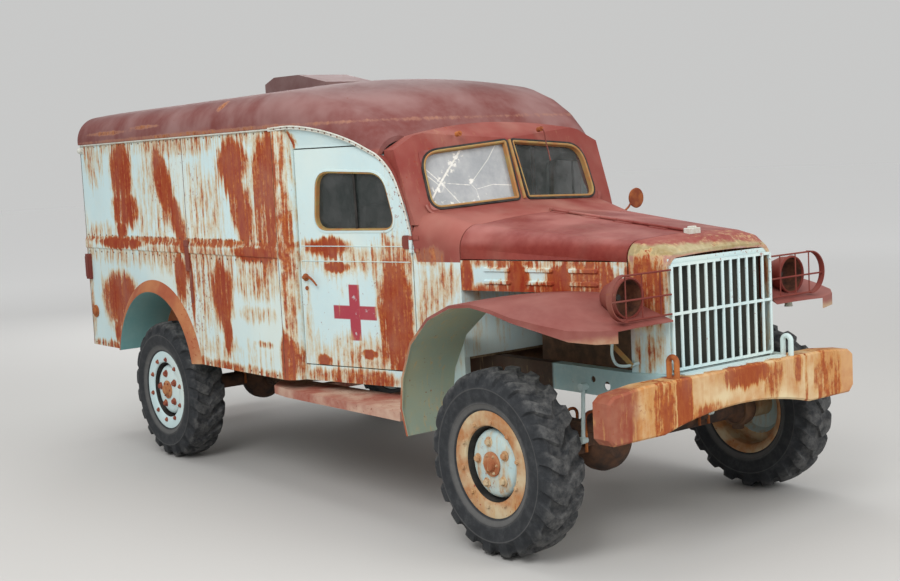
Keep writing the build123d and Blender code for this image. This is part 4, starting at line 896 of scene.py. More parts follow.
def clad(
    node: str, material: bpy.types.Material, bevel: float = 0.002, smooth: float = 32.0,
    also: tuple[bpy.types.Material, ...] = (), choose: Chooser | None = None,
) -> bpy.types.Object:
    """Stands a bevelled, merged copy in for a CAD node.

    Args:
        node: the CAD node.
        material: its finish.
        bevel: width of the bevel on sharp edges, or 0.
        smooth: largest angle in degrees that is shaded smooth.
        also: further finishes, for faces that choose picks out.
        choose: takes the middles and normals of all faces and gives each the number of its finish.

    Returns:
        The copy, which rides on the node's body.
    """
    source = frame["nodes"][node]
    mesh = source.data.copy()
    work = bmesh.new()
    work.from_mesh(mesh)
    bmesh.ops.remove_doubles(work, verts=work.verts, dist=MERGE)
    bmesh.ops.dissolve_limit(
        work, angle_limit=FLAT_ANGLE, verts=work.verts, edges=work.edges, use_dissolve_boundaries=False
    )
    work.to_mesh(mesh)
    work.free()
    if mesh.attributes.get("custom_normal"):
        mesh.attributes.remove(mesh.attributes["custom_normal"])
    mesh.materials.clear()
    for one in (material, *also):
        mesh.materials.append(one)
    count = len(mesh.polygons)
    if choose is not None:
        middles, normals = np.zeros(count * 3), np.zeros(count * 3)
        mesh.polygons.foreach_get("center", middles)
        mesh.polygons.foreach_get("normal", normals)
        picked = choose(middles.reshape(-1, 3), normals.reshape(-1, 3)).astype(np.int32)
        mesh.polygons.foreach_set("material_index", picked)
    mesh.polygons.foreach_set("use_smooth", np.ones(count, bool))
    mesh.set_sharp_from_angle(angle=math.radians(smooth))
    made = bpy.data.objects.new(f"{node}_skin", mesh)
    bpy.context.scene.collection.objects.link(made)
    if bevel:
        add_bevel(made, bevel)
    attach(made, source["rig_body"])
    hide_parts(node)
    log.info("%s: %d faces over the CAD piece", made.name, count)
    return made


# ---------------------------------------------------------------- sub-assemblies


BOX_STAINS = (
    Stain(-1.600, 1.746, 0.127, 0.155), Stain(-1.574, 1.513, 0.150, 0.080), Stain(-1.645, 1.381, 0.062, 0.040),
    Stain(-1.996, 1.806, 0.126, 0.108, 0.0, 0.55), Stain(-1.052, 1.679, 0.085, 0.150, -0.35),
    Stain(-0.885, 1.431, 0.062, 0.110, -0.35), Stain(-0.209, 1.760, 0.135, 0.108),
    Stain(-0.125, 1.520, 0.092, 0.140, -0.2), Stain(0.137, 1.588, 0.105, 0.250, 0.0, 0.95),
    Stain(-1.724, 0.951, 0.215, 0.125), Stain(-0.403, 1.058, 0.095, 0.133), Stain(-0.365, 0.836, 0.040, 0.090),
    Stain(-0.012, 1.095, 0.180, 0.052, 0.0, 0.5), Stain(-0.030, 0.949, 0.180, 0.034, 0.0, 0.5),
    Stain(-1.668, 1.297, 0.305, 0.026), Stain(-0.004, 1.270, 0.219, 0.032), Stain(-0.790, 1.229, 0.026, 0.080),
    Stain(-0.755, 1.074, 0.020, 0.115), Stain(-1.818, 0.741, 0.034, 0.060), Stain(-0.901, 1.137, 0.060, 0.095),
    Stain(0.026, 0.788, 0.085, 0.014, 0.0, 0.6), Stain(0.240, 0.728, 0.045, 0.110),
    Stain(0.180, 1.700, 0.050, 0.200), Stain(0.262, 1.250, 0.022, 0.650, 0.0, 0.66, 0.02),
    Stain(-2.170, 1.100, 0.030, 0.300, 0.0, 0.6),
    Stain(-1.000, 1.318, 1.250, 0.018, 0.0, 0.75), Stain(-1.000, 1.240, 1.250, 0.060, 0.0, 0.50),
    Stain(-1.000, 0.630, 1.300, 0.030, 0.0, 0.70), Stain(-1.000, 1.890, 1.250, 0.045, 0.0, 0.50),
    Stain(-0.100, 1.130, 0.330, 0.070, 0.0, 0.52), Stain(-1.300, 1.640, 0.300, 0.250, 0.0, 0.40),
    Stain(-0.560, 1.360, 0.200, 0.300, 0.0, 0.36), Stain(-0.350, 0.700, 0.400, 0.080, 0.0, 0.36),
    Stain(-1.950, 1.350, 0.200, 0.060, 0.0, 0.50),
)
DOOR_STAINS = (
    Stain(0.478, 1.307, 0.118, 0.036), Stain(0.546, 1.207, 0.074, 0.018), Stain(0.909, 1.004, 0.085, 0.225),
    Stain(0.934, 0.708, 0.040, 0.070), Stain(0.432, 0.722, 0.040, 0.028), Stain(0.728, 0.772, 0.045, 0.017),
    Stain(0.340, 0.900, 0.020, 0.150, 0.0, 0.5), Stain(0.640, 1.250, 0.330, 0.050, 0.0, 0.50),
    Stain(0.640, 0.760, 0.300, 0.080, 0.0, 0.45), Stain(0.900, 1.250, 0.120, 0.090, 0.0, 0.6),
)
CAB_STAINS = (
    Stain(0.254, 1.659, 0.043, 0.090), Stain(0.243, 1.025, 0.018, 0.190), Stain(0.240, 0.728, 0.055, 0.110),
    Stain(0.626, 0.648, 0.290, 0.034, 0.0, 0.72), Stain(1.173, 1.140, 0.125, 0.088, 0.0, 0.55),
    Stain(1.125, 1.265, 0.078, 0.034, 0.0, 0.7), Stain(0.240, 1.860, 0.065, 0.034),
    Stain(0.262, 1.250, 0.022, 0.650, 0.0, 0.66, 0.02), Stain(1.160, 1.000, 0.120, 0.200, 0.0, 0.5),
)
ROOF_STAINS = (
    Stain(-1.750, 1.975, 0.260, 0.010, 0.0, 0.72), Stain(-1.250, 1.990, 0.160, 0.008, 0.0, 0.66),
    Stain(-0.350, 2.060, 0.030, 0.020, 0.5, 0.75), Stain(-0.700, 1.925, 1.450, 0.010, 0.0, 0.62),
)
BUMPER_STAINS = (
    Stain(0.050, 0.735, 0.130, 0.035), Stain(0.230, 0.690, 0.050, 0.060, 0.3, 0.8), Stain(-0.350, 0.680, 0.035, 0.110),
    Stain(-0.480, 0.660, 0.060, 0.120, 0.0, 0.7), Stain(0.600, 0.650, 0.090, 0.140, 0.0, 0.7),
    Stain(-0.200, 0.590, 0.120, 0.040, 0.0, 0.7), Stain(0.395, 0.720, 0.030, 0.040, 0.0, 0.8),
    Stain(-0.392, 0.668, 0.009, 0.105), Stain(0.442, 0.665, 0.009, 0.105),
)
PANEL_STAINS = (
    Stain(1.631, 1.160, 0.050, 0.085), Stain(1.345, 1.180, 0.035, 0.070), Stain(1.850, 1.150, 0.055, 0.075),
    Stain(2.040, 1.165, 0.110, 0.085, 0.0, 0.9), Stain(2.270, 1.150, 0.085, 0.110, 0.0, 0.9),
    Stain(1.760, 1.105, 0.450, 0.035, 0.0, 0.8), Stain(1.760, 1.238, 0.480, 0.020, 0.0, 0.7),
    Stain(2.290, 0.860, 0.060, 0.080, 0.0, 0.5),
)
SCREEN_CRACKS = (
    Crack((-0.442, 1.604), (-0.269, 1.770), 0.0045, 0.016), Crack((-0.442, 1.604), (-0.550, 1.489), 0.0040, 0.010),
    Crack((-0.442, 1.604), (-0.561, 1.725), 0.0022), Crack((-0.460, 1.596), (-0.570, 1.695), 0.0022),
    Crack((-0.435, 1.594), (-0.355, 1.486)), Crack((-0.433, 1.600), (-0.283, 1.583), 0.0010, 0.010),
    Crack((-0.264, 1.597), (-0.136, 1.703), 0.0011, 0.003), Crack((-0.136, 1.703), (-0.060, 1.784), 0.0011, 0.003),
    Crack((-0.269, 1.582), (-0.250, 1.559), 0.0011), Crack((-0.250, 1.559), (-0.247, 1.508), 0.0011),
    Crack((-0.242, 1.561), (-0.145, 1.578), 0.0012, 0.004), Crack((-0.145, 1.578), (-0.026, 1.568), 0.0016),
    Crack((-0.275, 1.592), (-0.262, 1.600), 0.0060, 0.016),
)


class Finishes:
    """The truck's materials by name, all but the tyres' rubber."""

    def __init__(self) -> None:
        """Makes them all."""
        pale, faded = (0.54, 0.70, 0.72), (0.64, 0.73, 0.69)
        maroon, dull = (0.225, 0.036, 0.028), (0.340, 0.112, 0.088)
        rust, bright = (0.200, 0.045, 0.018), (0.480, 0.165, 0.045)
        self.box = OldPaint("box_paint", pale, faded, runs=0.5, chips=0.6, stains=BOX_STAINS).build()
        self.doors = OldPaint(
            "door_paint", pale, faded, runs=0.35, chips=0.55, stains=DOOR_STAINS,
            cross=(0.647, 0.975, 0.141, 0.0345),
        ).build()
        self.rear_doors = OldPaint("rear_door_paint", pale, faded, runs=0.9, chips=0.5, across=Across.Y).build()
        self.cab = OldPaint(
            "cab_paint", pale, faded, runs=0.35, chips=0.5, patch=2.6, stains=CAB_STAINS, pillar=(maroon, dull)
        ).build()
        self.nose = OldPaint(
            "nose_paint", pale, faded, runs=0.5, chips=0.7, stains=PANEL_STAINS,
            zones=(
                Zone((-1, 0, 0.6), -1.74, -1.60, (0.30, 0.055, 0.025), (0.46, 0.17, 0.07), 0.85, 0.14),
                Zone((0, 0, 1), 1.266, 1.274, (0.26, 0.18, 0.065), (0.46, 0.40, 0.25), 1.0, 0.03),
                Zone((0, 0.05, 1), 1.290, 1.308, maroon, dull, 1.0, 0.07),
            ),
        ).build()
        self.panels = OldPaint("panel_paint", pale, faded, runs=0.6, chips=0.6, stains=PANEL_STAINS).build()
        self.red_roof = OldPaint(
            "roof_oxide", (0.160, 0.038, 0.032), (0.265, 0.138, 0.128), (0.17, 0.035, 0.02), (0.46, 0.19, 0.06),
            (0.36, 0.17, 0.11), runs=-0.6, chips=0.35, patch=3.0, rough=0.6, dust=0.15, dust_colour=(0.38, 0.27, 0.25),
            stains=ROOF_STAINS,
            zones=(
                Zone((0, -1, -1.6), -2.18, -2.10, (0.23, 0.055, 0.04), (0.30, 0.10, 0.07), 0.8, 0.2),
                Zone((0, 0, 1), 2.02, 2.14, (0.135, 0.070, 0.067), (0.185, 0.120, 0.115), 0.8, 0.05),
            ),
        ).build()
        self.hood = OldPaint(
            "hood_oxide", (0.195, 0.028, 0.022), (0.360, 0.125, 0.105), (0.17, 0.03, 0.018), (0.42, 0.14, 0.07),
            (0.40, 0.17, 0.13), runs=-0.6, chips=0.35, patch=3.4, rough=0.5,
            zones=(Zone((0, 0, 1), 1.345, 1.300, (0.165, 0.016, 0.011), (0.230, 0.040, 0.028), 1.0, 0.03),),
        ).build()
        self.fender = OldPaint(
            "fender_oxide", (0.205, 0.052, 0.042), (0.275, 0.098, 0.080), rust, (0.38, 0.13, 0.05),
            (0.42, 0.23, 0.15), runs=-0.3, chips=0.45, patch=3.4, rough=0.62, dust=0.18, dust_colour=(0.34, 0.18, 0.15),
            zones=(
                Zone((0, 0, 1), 0.985, 0.950, (0.36, 0.17, 0.09), (0.52, 0.40, 0.25), 0.8, 0.05),
                Zone((0, 0, 1), 0.72, 0.62, (0.30, 0.06, 0.03), (0.44, 0.15, 0.06), 0.8, 0.1),
            ),
        ).build()
        self.fender_inside = OldPaint(
            "fender_inside", (0.33, 0.42, 0.34), (0.46, 0.42, 0.24), runs=0.9, chips=0.7, rough=0.8
        ).build()
        self.arch_inside = OldPaint(
            "arch_inside", (0.16, 0.36, 0.36), (0.26, 0.44, 0.42), runs=0.2, chips=0.5, rough=0.75
        ).build()
        self.steel = Plain("rusty_steel", rust, bright, 0.85, scale=9.0).build()
        self.arch = OldPaint(
            "arch_rust", (0.34, 0.085, 0.040), (0.44, 0.17, 0.07), halo=(0.50, 0.27, 0.12), runs=0.2, chips=0.6,
            patch=5.0, rough=0.75, dust=0.05,
            zones=(Zone((1, 0, -0.9), -1.42, -1.20, (0.46, 0.20, 0.08), (0.60, 0.46, 0.27), 0.8, 0.2),),
        ).build()
        self.board = OldPaint(
            "board_paint", (0.33, 0.095, 0.065), (0.56, 0.40, 0.30), rust, (0.45, 0.13, 0.05), (0.60, 0.45, 0.33),
            runs=0.3, chips=0.9, patch=5.0, rough=0.7, dust=0.3, dust_colour=(0.58, 0.46, 0.36),
        ).build()
        self.bumper = OldPaint(
            "bumper_rust", (0.50, 0.200, 0.050), (0.74, 0.62, 0.38), (0.29, 0.055, 0.018), (0.47, 0.150, 0.035),
            (0.56, 0.30, 0.10), runs=0.5, chips=0.7, wear=0.04, patch=4.2, striped=0.3, across=Across.Y, rough=0.7,
            stains=BUMPER_STAINS,
            zones=(
                Zone((0, -1, 0), 0.60, 0.68, (0.25, 0.040, 0.026), (0.33, 0.10, 0.06), 0.9, 0.10),
                Zone((0, 1, 0), 0.52, 0.62, (0.40, 0.095, 0.030), (0.54, 0.24, 0.08), 0.75, 0.2),
            ),
        ).build()
        self.bars = OldPaint("bar_paint", pale, faded, runs=0.2, chips=0.75).build()
        self.lamp_bucket = OldPaint(
            "lamp_oxide", (0.145, 0.020, 0.016), (0.215, 0.052, 0.036), rust, bright, runs=-0.4, chips=0.5, rough=0.7
        ).build()
        self.seal = Plain("seal_yellow", (0.36, 0.26, 0.095), (0.40, 0.17, 0.06), 0.75, scale=16.0).build()
        self.bowl = Plain("bowl_rust", (0.045, 0.018, 0.012), (0.150, 0.055, 0.028), 0.8, scale=20.0).build()
        self.gasket = Plain("gasket_black", (0.016, 0.015, 0.014), (0.05, 0.045, 0.04), 0.7).build()
        self.white = Plain("white_trim", (0.62, 0.63, 0.58), (0.50, 0.48, 0.40), 0.6, scale=30.0).build()
        self.rivet = Plain("rivet_rust", (0.10, 0.045, 0.03), (0.24, 0.10, 0.05), 0.7, scale=40.0).build()
        self.chassis = Plain("frame_paint", (0.045, 0.033, 0.028), (0.13, 0.065, 0.038), 0.85).build()
        self.rails = OldPaint(
            "rail_paint", (0.055, 0.038, 0.03), (0.13, 0.07, 0.045), rust, bright, runs=0.2, chips=0.5, rough=0.8,
            zones=(Zone((1, 0, 0), 1.70, 1.72, (0.38, 0.56, 0.58), faded, 0.95, 0.02),),
        ).build()
        self.fins = Plain(
            "radiator_fins", (0.020, 0.025, 0.022), (0.060, 0.055, 0.042), 0.8, scale=9.0, stretch=(1.0, 1.0, 0.2)
        ).build()
        self.cast = Plain("cast_metal", (0.10, 0.065, 0.045), (0.22, 0.12, 0.07), 0.8, 0.2).build()
        self.wood = Plain("bench_wood", (0.22, 0.15, 0.09), (0.32, 0.24, 0.15), 0.8, stretch=(0.2, 4, 4)).build()
        self.canvas = Plain("seat_cover", (0.075, 0.07, 0.045), (0.15, 0.13, 0.08), 0.95, scale=20).build()
        self.dark = Plain("dark_plastic", (0.025, 0.024, 0.022), (0.06, 0.05, 0.04), 0.6).build()
        self.inner = OldPaint("inner_paint", (0.42, 0.50, 0.47), faded, runs=0.3, chips=0.5).build()
        self.glass = OldGlass("window_glass", (0.030, 0.038, 0.036), clear=0.55, dust=0.30, haze=0.05).build()
        self.right_screen = OldGlass(
            "right_screen_glass", (0.33, 0.355, 0.365), clear=0.80, dust=0.15, cracks=SCREEN_CRACKS,
            flakes_below=1.475,
        ).build()
        self.left_screen = OldGlass(
            "left_screen_glass", (0.05, 0.06, 0.055), clear=0.20, dust=0.22, haze=0.12, flakes_below=1.43
        ).build()
        self.front_wheel = OldPaint(
            "front_wheel_paint", (0.40, 0.155, 0.050), (0.54, 0.44, 0.28), halo=(0.50, 0.30, 0.13), runs=0.2,
            chips=0.9, wear=0.16, patch=9.0, rough=0.75,
        ).build()
        self.front_disc = OldPaint(
            "front_disc_paint", (0.40, 0.54, 0.55), (0.52, 0.60, 0.56), halo=(0.50, 0.36, 0.19), runs=0.3, chips=0.9,
            wear=0.20, patch=7.0,
        ).build()
        self.rear_wheel = OldPaint("rear_wheel_paint", pale, faded, runs=0.3, chips=0.9, wear=0.04).build()
        self.red_bolt = Plain("bolt_oxide", (0.20, 0.040, 0.028), (0.36, 0.12, 0.06), 0.75, scale=40.0).build()
        self.hub_rust = OldPaint(
            "hub_rust", (0.30, 0.085, 0.030), (0.46, 0.22, 0.10), runs=0.6, chips=0.9, patch=12.0, rough=0.8
        ).build()


def towards_axle(axle_x: float) -> Chooser:
    """Picks out faces that look at a wheel, by the sign of normal . (axle - middle)."""

    def choose(middles: Array, normals: Array) -> Array:
        """1 for faces that look at the wheel."""
        towards = np.array([axle_x, 0.0, WHEEL_RADIUS]) - middles
        towards[:, 1] = 0.0
        towards /= np.maximum(np.linalg.norm(towards, axis=1, keepdims=True), 1e-9)
        return np.einsum("ij,ij->i", normals, towards) > TOWARDS

    return choose


@dataclass(frozen=True)
class Carried:
    """CAD pieces whose own form is right: each gets its finish, and all but the glass get bevelled edges."""

    finishes: Finishes

    def build(self) -> None:
        """Clads every piece that no other class makes."""
        f = self.finishes
        plan: dict[bpy.types.Material, tuple[str, ...]] = {
            f.box: ("box_side_right", "box_side_left", "box_rear_frame"),
            f.nose: ("nose_shell",),
            f.panels: ("hood_side_panels",),
            f.doors: ("cab_door_right", "cab_door_left"),
            f.rear_doors: ("rear_door_right", "rear_door_left"),
            f.cab: ("cab_shell",),
            f.red_roof: ("roof",),
            f.hood: ("hood_right", "hood_left"),
            f.board: ("running_boards",),
            f.steel: ("rear_step", "exhaust_pipe"),
            f.lamp_bucket: ("headlamps",),
            f.rails: ("frame_ladder",),
            f.chassis: ("front_axle", "rear_axle", "leaf_springs", "fuel_tank"),
            f.cast: ("engine_block", "driveline", "knuckle_right", "knuckle_left"),
            f.fins: ("radiator_core",),
            f.wood: ("body_floor", "patient_benches"),
            f.dark: ("dashboard", "steering_wheel"),
            f.inner: ("partition", "seat_frames"),
        }
        for material, nodes in plan.items():
            for node in nodes:
                clad(node, material)
        clad(
            "front_bumper", f.bumper, also=(f.steel, f.bars),
            choose=lambda m, _: (m[:, 2] > 0.775) * (1 + (m[:, 1] > 0)),
        )
        clad("front_fenders", f.fender, also=(f.fender_inside,), choose=towards_axle(FRONT_AXLE_X))
        clad("rear_arches", f.arch, also=(f.arch_inside,), choose=towards_axle(REAR_AXLE_X))
        clad("grille_guard", f.bars, also=(f.lamp_bucket,), choose=lambda m, _: np.abs(m[:, 1]) > 0.335)
        for node in ("cab_door_right_glass", "cab_door_left_glass", "rear_door_right_glass", "rear_door_left_glass"):
            clad(node, f.glass, 0.0)
        clad("windscreen_glass", f.right_screen, 0.0, also=(f.left_screen,), choose=lambda m, _: m[:, 1] > 0)


@dataclass(frozen=True)
class Tyre:
    """A tyre with chunky curved lugs, staggered from side to side.

    The section runs from bead to bead as rows of (offset, radius, groove depth). Each pitch of the
    tread has a few columns, high on the lug and low in the groove. A point is the section's point
    less the section's normal times the depth in the groove; the angle is the column's angle plus
    a shift that grows with the square of the offset and changes by half a pitch at the middle.
    """

    rubber: bpy.types.Material
    lugs: int = 20
    curl: float = 0.42
    half_section: tuple[Point, ...] = (
        (0.0, 0.4100, 0.014), (0.020, 0.4098, 0.018), (0.045, 0.4090, 0.021), (0.068, 0.4070, 0.022),
        (0.084, 0.4030, 0.022), (0.093, 0.3960, 0.020), (0.100, 0.3840, 0.021), (0.106, 0.3680, 0.019),
        (0.1085, 0.3520, 0.013), (0.1100, 0.3420, 0.003), (0.1118, 0.3370, 0.0), (0.1128, 0.3340, 0.0),
        (0.1118, 0.3300, 0.0), (0.1125, 0.3100, 0.0), (0.1110, 0.2900, 0.0), (0.1060, 0.2700, 0.0),
        (0.1075, 0.2660, 0.0), (0.1050, 0.2620, 0.0), (0.0990, 0.2480, 0.0), (0.0940, 0.2372, 0.0),
    )
    columns: tuple[Pair, ...] = (
        (0.00, 0.97), (0.14, 1.0), (0.30, 1.0), (0.47, 0.97), (0.55, 0.15), (0.62, 0.0), (0.80, 0.0), (0.93, 0.15),
    )

    def build(self, node: str, axle_x: float, side: int) -> None:
        """Builds one tyre over its CAD node.

        Args:
            node: the tyre's CAD node.
            axle_x: the axle's station.
            side: -1 for the right and 1 for the left.
        """
        half = np.array(self.half_section)
        section = np.concatenate([half[:0:-1] * np.array([-1, 1, 1]), half])
        slope = np.gradient(section[:, :2], axis=0)
        normal = np.stack([-slope[:, 1], slope[:, 0]], -1)
        normal /= np.linalg.norm(normal, axis=1, keepdims=True)
        column = np.array(self.columns)
        turn = (np.arange(self.lugs)[:, None] + column[:, 0][None]).ravel()
        high = np.tile(column[:, 1], self.lugs)
        offset, radius = section[:, :1], section[:, 1:2]
        swap = 0.5 / (1 + np.exp(np.clip(offset / 0.004, -40, 40)))
        angle = (turn[None] + swap + self.curl * (offset / 0.1) ** 2) * math.tau / self.lugs
        sink = section[:, 2:] * (1 - high[None])
        across = side * (offset - normal[:, :1] * sink) + side * WHEEL_Y
        reach = radius - normal[:, 1:] * sink
        x, z = axle_x + reach * np.cos(angle), WHEEL_RADIUS + reach * np.sin(angle)
        outer = np.stack([x, np.broadcast_to(across, x.shape), z], -1)
        bore = np.array([(0.094, 0.2368), (0.060, 0.2060), (-0.060, 0.2060), (-0.094, 0.2368)])
        ring = np.mean(angle, axis=0)[None]
        bx, bz = axle_x + bore[:, 1:] * np.cos(ring), WHEEL_RADIUS + bore[:, 1:] * np.sin(ring)
        by = np.broadcast_to(side * (WHEEL_Y + bore[:, :1]), bx.shape)
        points = np.concatenate([outer, np.stack([bx, by, bz], -1)])
        rows, count = points.shape[:2]
        faces = [tuple(f) for f in grid_faces(rows, count, True, True)]
        body = frame["nodes"][node]["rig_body"]
        place_shape(
            f"{node}_tread", Shape(points.reshape(-1, 3), faces), self.rubber, body, 30.0, (node,)
        )


@dataclass(frozen=True)
class Wheel:
    """A pressed wheel: a wide bolted ring, a deep recess with four slots, and a domed disc.

    The section turned round the axle runs down the ring, into the recess, over the dome to the hub
    cap, and back along the barrel. Columns: radius, offset outward.
    """

    rim: bpy.types.Material
    disc: bpy.types.Material
    hub: bpy.types.Material
    bolt: bpy.types.Material
    # dark: black of the recess lining and of the slot slabs, both painted shade
    dark: bpy.types.Material
    slot: str
    ring_bolts: int = 10
    bolt_circle: float = 0.186
    bolt_face: float = 0.0890
    nuts: int = 5
    cap_bolts: int = 6
    rim_section: tuple[Pair, ...] = (
        (0.1500, 0.0140), (0.1500, 0.0300), (0.1565, 0.0275), (0.1620, 0.0310), (0.1635, 0.0600), (0.1660, 0.0800),
        (0.1710, 0.0870), (0.1800, 0.0895), (0.2270, 0.0915), (0.2335, 0.0905), (0.2362, 0.0860), (0.2360, 0.0790),
        (0.2180, 0.0740), (0.2060, 0.0660), (0.2030, 0.0500), (0.2030, -0.0600), (0.2080, -0.0740),
        (0.2300, -0.0840), (0.2360, -0.0900), (0.2310, -0.0930), (0.2200, -0.0900), (0.1960, -0.0700),
        (0.1900, -0.0500), (0.1900, 0.0160),
    )
    disc_section: tuple[Pair, ...] = (
        (0.0284, 0.0600), (0.0284, 0.0775), (0.0640, 0.0780), (0.0860, 0.0765), (0.1140, 0.0740), (0.1320, 0.0690),
        (0.1440, 0.0600), (0.1500, 0.0470), (0.1510, 0.0300), (0.1500, 0.0140), (0.1400, 0.0300), (0.1280, 0.0500),
        (0.1000, 0.0580),
    )
    barrel_section: tuple[Pair, ...] = (
        (0.0284, -0.0360), (0.0620, -0.0360), (0.0620, 0.0600), (0.0284, 0.0600),
    )
    cap_section: tuple[Pair, ...] = (
        (0.0, 0.0815), (0.0285, 0.0815), (0.0285, 0.0700), (0.0540, 0.0700), (0.0545, 0.0835), (0.0490, 0.0870),
        (0.0320, 0.0880), (0.0300, 0.0970), (0.0265, 0.1035), (0.0180, 0.1048), (0.0, 0.1050),
    )
    # a thin black lining just over the recess's floor and inner wall: painted shade of the deep recess
    recess_shade_section: tuple[Pair, ...] = (
        (0.1514, 0.0325), (0.1517, 0.0312), (0.1565, 0.0288), (0.1618, 0.0322), (0.1632, 0.0600), (0.1655, 0.0800),
        (0.1645, 0.0802), (0.1622, 0.0602), (0.1608, 0.0332), (0.1565, 0.0302), (0.1524, 0.0322),
    )

    def ring(self, count: int, radius: float, offset: float, first: float = 0.0) -> Array:
        """Places round an axle at the origin: x and z from the angle, y the offset."""
        angle = first + np.arange(count) * math.tau / count
        return np.stack([radius * np.cos(angle), np.full(count, offset), radius * np.sin(angle)], -1)

    def slots(self) -> Shape:
        """Four dark crescents in the floor of the recess, each a thin curved slab of painted shade for an open slot.

        Half width = 0.0052 sqrt(1 - (angle / 0.46)^2), about a radius of 0.1565.

        Returns:
            All four as one shape.
        """
        steps, reach, middle = 13, 0.46, 0.1565
        turn = np.linspace(-reach, reach, steps)
        bulge = 0.0052 * np.sqrt(np.maximum(1 - (turn / reach) ** 2, 0.02))
        corners = [(1, 0.0290), (-1, 0.0290), (-1, 0.0240), (1, 0.0240)]
        last = 4 * (steps - 1)
        faces = [tuple(f) for f in grid_faces(steps, 4, False, True)]
        faces += [(3, 2, 1, 0), (last, last + 1, last + 2, last + 3)]
        parts = []
        for start in np.arange(4) * math.pi / 2 + math.pi / 4:
            round_x, round_z = np.cos(turn + start), np.sin(turn + start)
            rows = [(middle + way * bulge, y) for way, y in corners]
            loop = np.stack([np.stack([r * round_x, np.full(steps, y), r * round_z], -1) for r, y in rows], 1)
            parts.append(Shape(loop.reshape(-1, 3), faces))
        return joined(parts)

    def build(self, corner: str, axle_x: float, side: int) -> None:
        """Builds one wheel over its CAD node.

        Args:
            corner: which wheel, as its CAD node's name ends.
            axle_x: the axle's station.
            side: -1 for the right and 1 for the left.
        """
        node = f"wheel_{corner}"
        body = frame["nodes"][node]["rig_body"]
        centre = (axle_x, side * WHEEL_Y, WHEEL_RADIUS)

        def put(name: str, shape: Shape, material: bpy.types.Material, replaces: tuple[str, ...] = ()) -> None:
            """Places a shape made about the origin with +Y outward."""
            placed = (shape if side > 0 else shape.mirrored()).moved(centre)
            place_shape(f"{node}_{name}", placed, material, body, 32.0, replaces)

        origin = (0.0, 0.0, 0.0)
        put("ring", lathe(self.rim_section, 80, origin), self.rim, (node,))
        put("disc", lathe(self.disc_section, 80, origin), self.disc)
        put("barrel", lathe(self.barrel_section, 32, origin), self.rim)
        put("hub_cap", lathe(self.cap_section, 48, origin), self.hub)
        # painted shade: a black lining laid in the recess between ring and disc, for the shadow that fills it
        put("gap", lathe(self.recess_shade_section, 64, origin), self.dark)
        # painted shade: black slabs stand for the shadow seen through the four slots
        put("slots", self.slots(), self.dark)
        outward = (0.0, 1.0, 0.0)
        for name, count, radius, offset, first, head, tall in (
            ("ring_bolts", self.ring_bolts, self.bolt_circle, self.bolt_face, 0.2, 0.0105, 0.0120),
            ("nuts", self.nuts, 0.096, 0.0740, 0.5, 0.0165, 0.0190),
            ("cap_bolts", self.cap_bolts, 0.0415, 0.0875, 0.0, 0.0048, 0.0070),
        ):
            places = self.ring(count, radius, offset, first)
            washers = bolts(places - np.array([0.0, 0.0006, 0.0]), outward, head * 1.4, tall * 0.3, 14)
            put(name, joined([bolts(places, outward, head, tall), washers]), self.bolt)


def rounded_loop(corners: tuple[Pair, ...], radii: tuple[float, ...], count: int = 9) -> Array:
    """A closed loop with arcs at its corners.

    Each arc is point = (1-t)^2 start + 2t(1-t) corner + t^2 end, where start and end lie a radius
    away from the corner along its sides.

    Args:
        corners: the corners in order.
        radii: one radius for each.
        count: points for each corner.

    Returns:
        Rows of (a, b).
    """
    c = np.array(corners, float)
    r = np.array(radii, float)[:, None]
    back, ahead = np.roll(c, 1, 0) - c, np.roll(c, -1, 0) - c
    start = c + r * back / np.linalg.norm(back, axis=1, keepdims=True)
    end = c + r * ahead / np.linalg.norm(ahead, axis=1, keepdims=True)
    t = np.linspace(0, 1, count)[None, :, None]
    loop = (1 - t) ** 2 * start[:, None] + 2 * t * (1 - t) * c[:, None] + t**2 * end[:, None]
    return loop.reshape(-1, 2)


def grown(loop: Array, by: float) -> Array:
    """A loop moved outward by a distance along its in-plane normals.

    The normal is the run from the point before to the point after, turned by a right angle.

    Args:
        loop: rows of (a, b).
        by: the distance, or less than nought to shrink it.

    Returns:
        The moved loop.
    """
    run = np.roll(loop, -1, 0) - np.roll(loop, 1, 0)
    normal = np.stack([run[:, 1], -run[:, 0]], -1)
    normal /= np.maximum(np.linalg.norm(normal, axis=1, keepdims=True), 1e-9)
    area = np.sum(loop[:, 0] * np.roll(loop[:, 1], -1) - np.roll(loop[:, 0], -1) * loop[:, 1])
    return loop + normal * (by if area > 0 else -by)


@dataclass(frozen=True)
class Flat:
    """A plane in space: point = origin + a across + b up + c out."""

    origin: Point
    across: Point
    up: Point

    def out(self) -> Array:
        """Unit normal of the plane."""
        return np.cross(self.across, self.up)

    def put(self, loop: Array, height: float | Array = 0.0) -> Array:
        """Points of the plane at a height.

        Args:
            loop: rows of (a, b).
            height: one height or one for each row.

        Returns:
            Rows of points.
        """
        lift = np.broadcast_to(np.asarray(height, float), (len(loop),))[:, None]
        flat = np.asarray(self.origin) + loop[:, :1] * np.array(self.across) + loop[:, 1:] * np.array(self.up)
        return flat + lift * self.out()

    def band(self, *rows: tuple[Array, float, float]) -> Shape:
        """A closed band whose section steps through grown loops at heights and back to the first.

        Args:
            rows: loops of the same count, each with how far it is grown and its height.

        Returns:
            The band.
        """
        grid = np.stack([self.put(grown(loop, by), height) for loop, by, height in rows])
        faces = grid_faces(*grid.shape[:2], True, True)
        return Shape(grid.reshape(-1, 3), [tuple(f) for f in faces])


def unit(v: Point) -> Point:
    """A vector of length one."""
    size = math.sqrt(sum(c * c for c in v))
    return (v[0] / size, v[1] / size, v[2] / size)


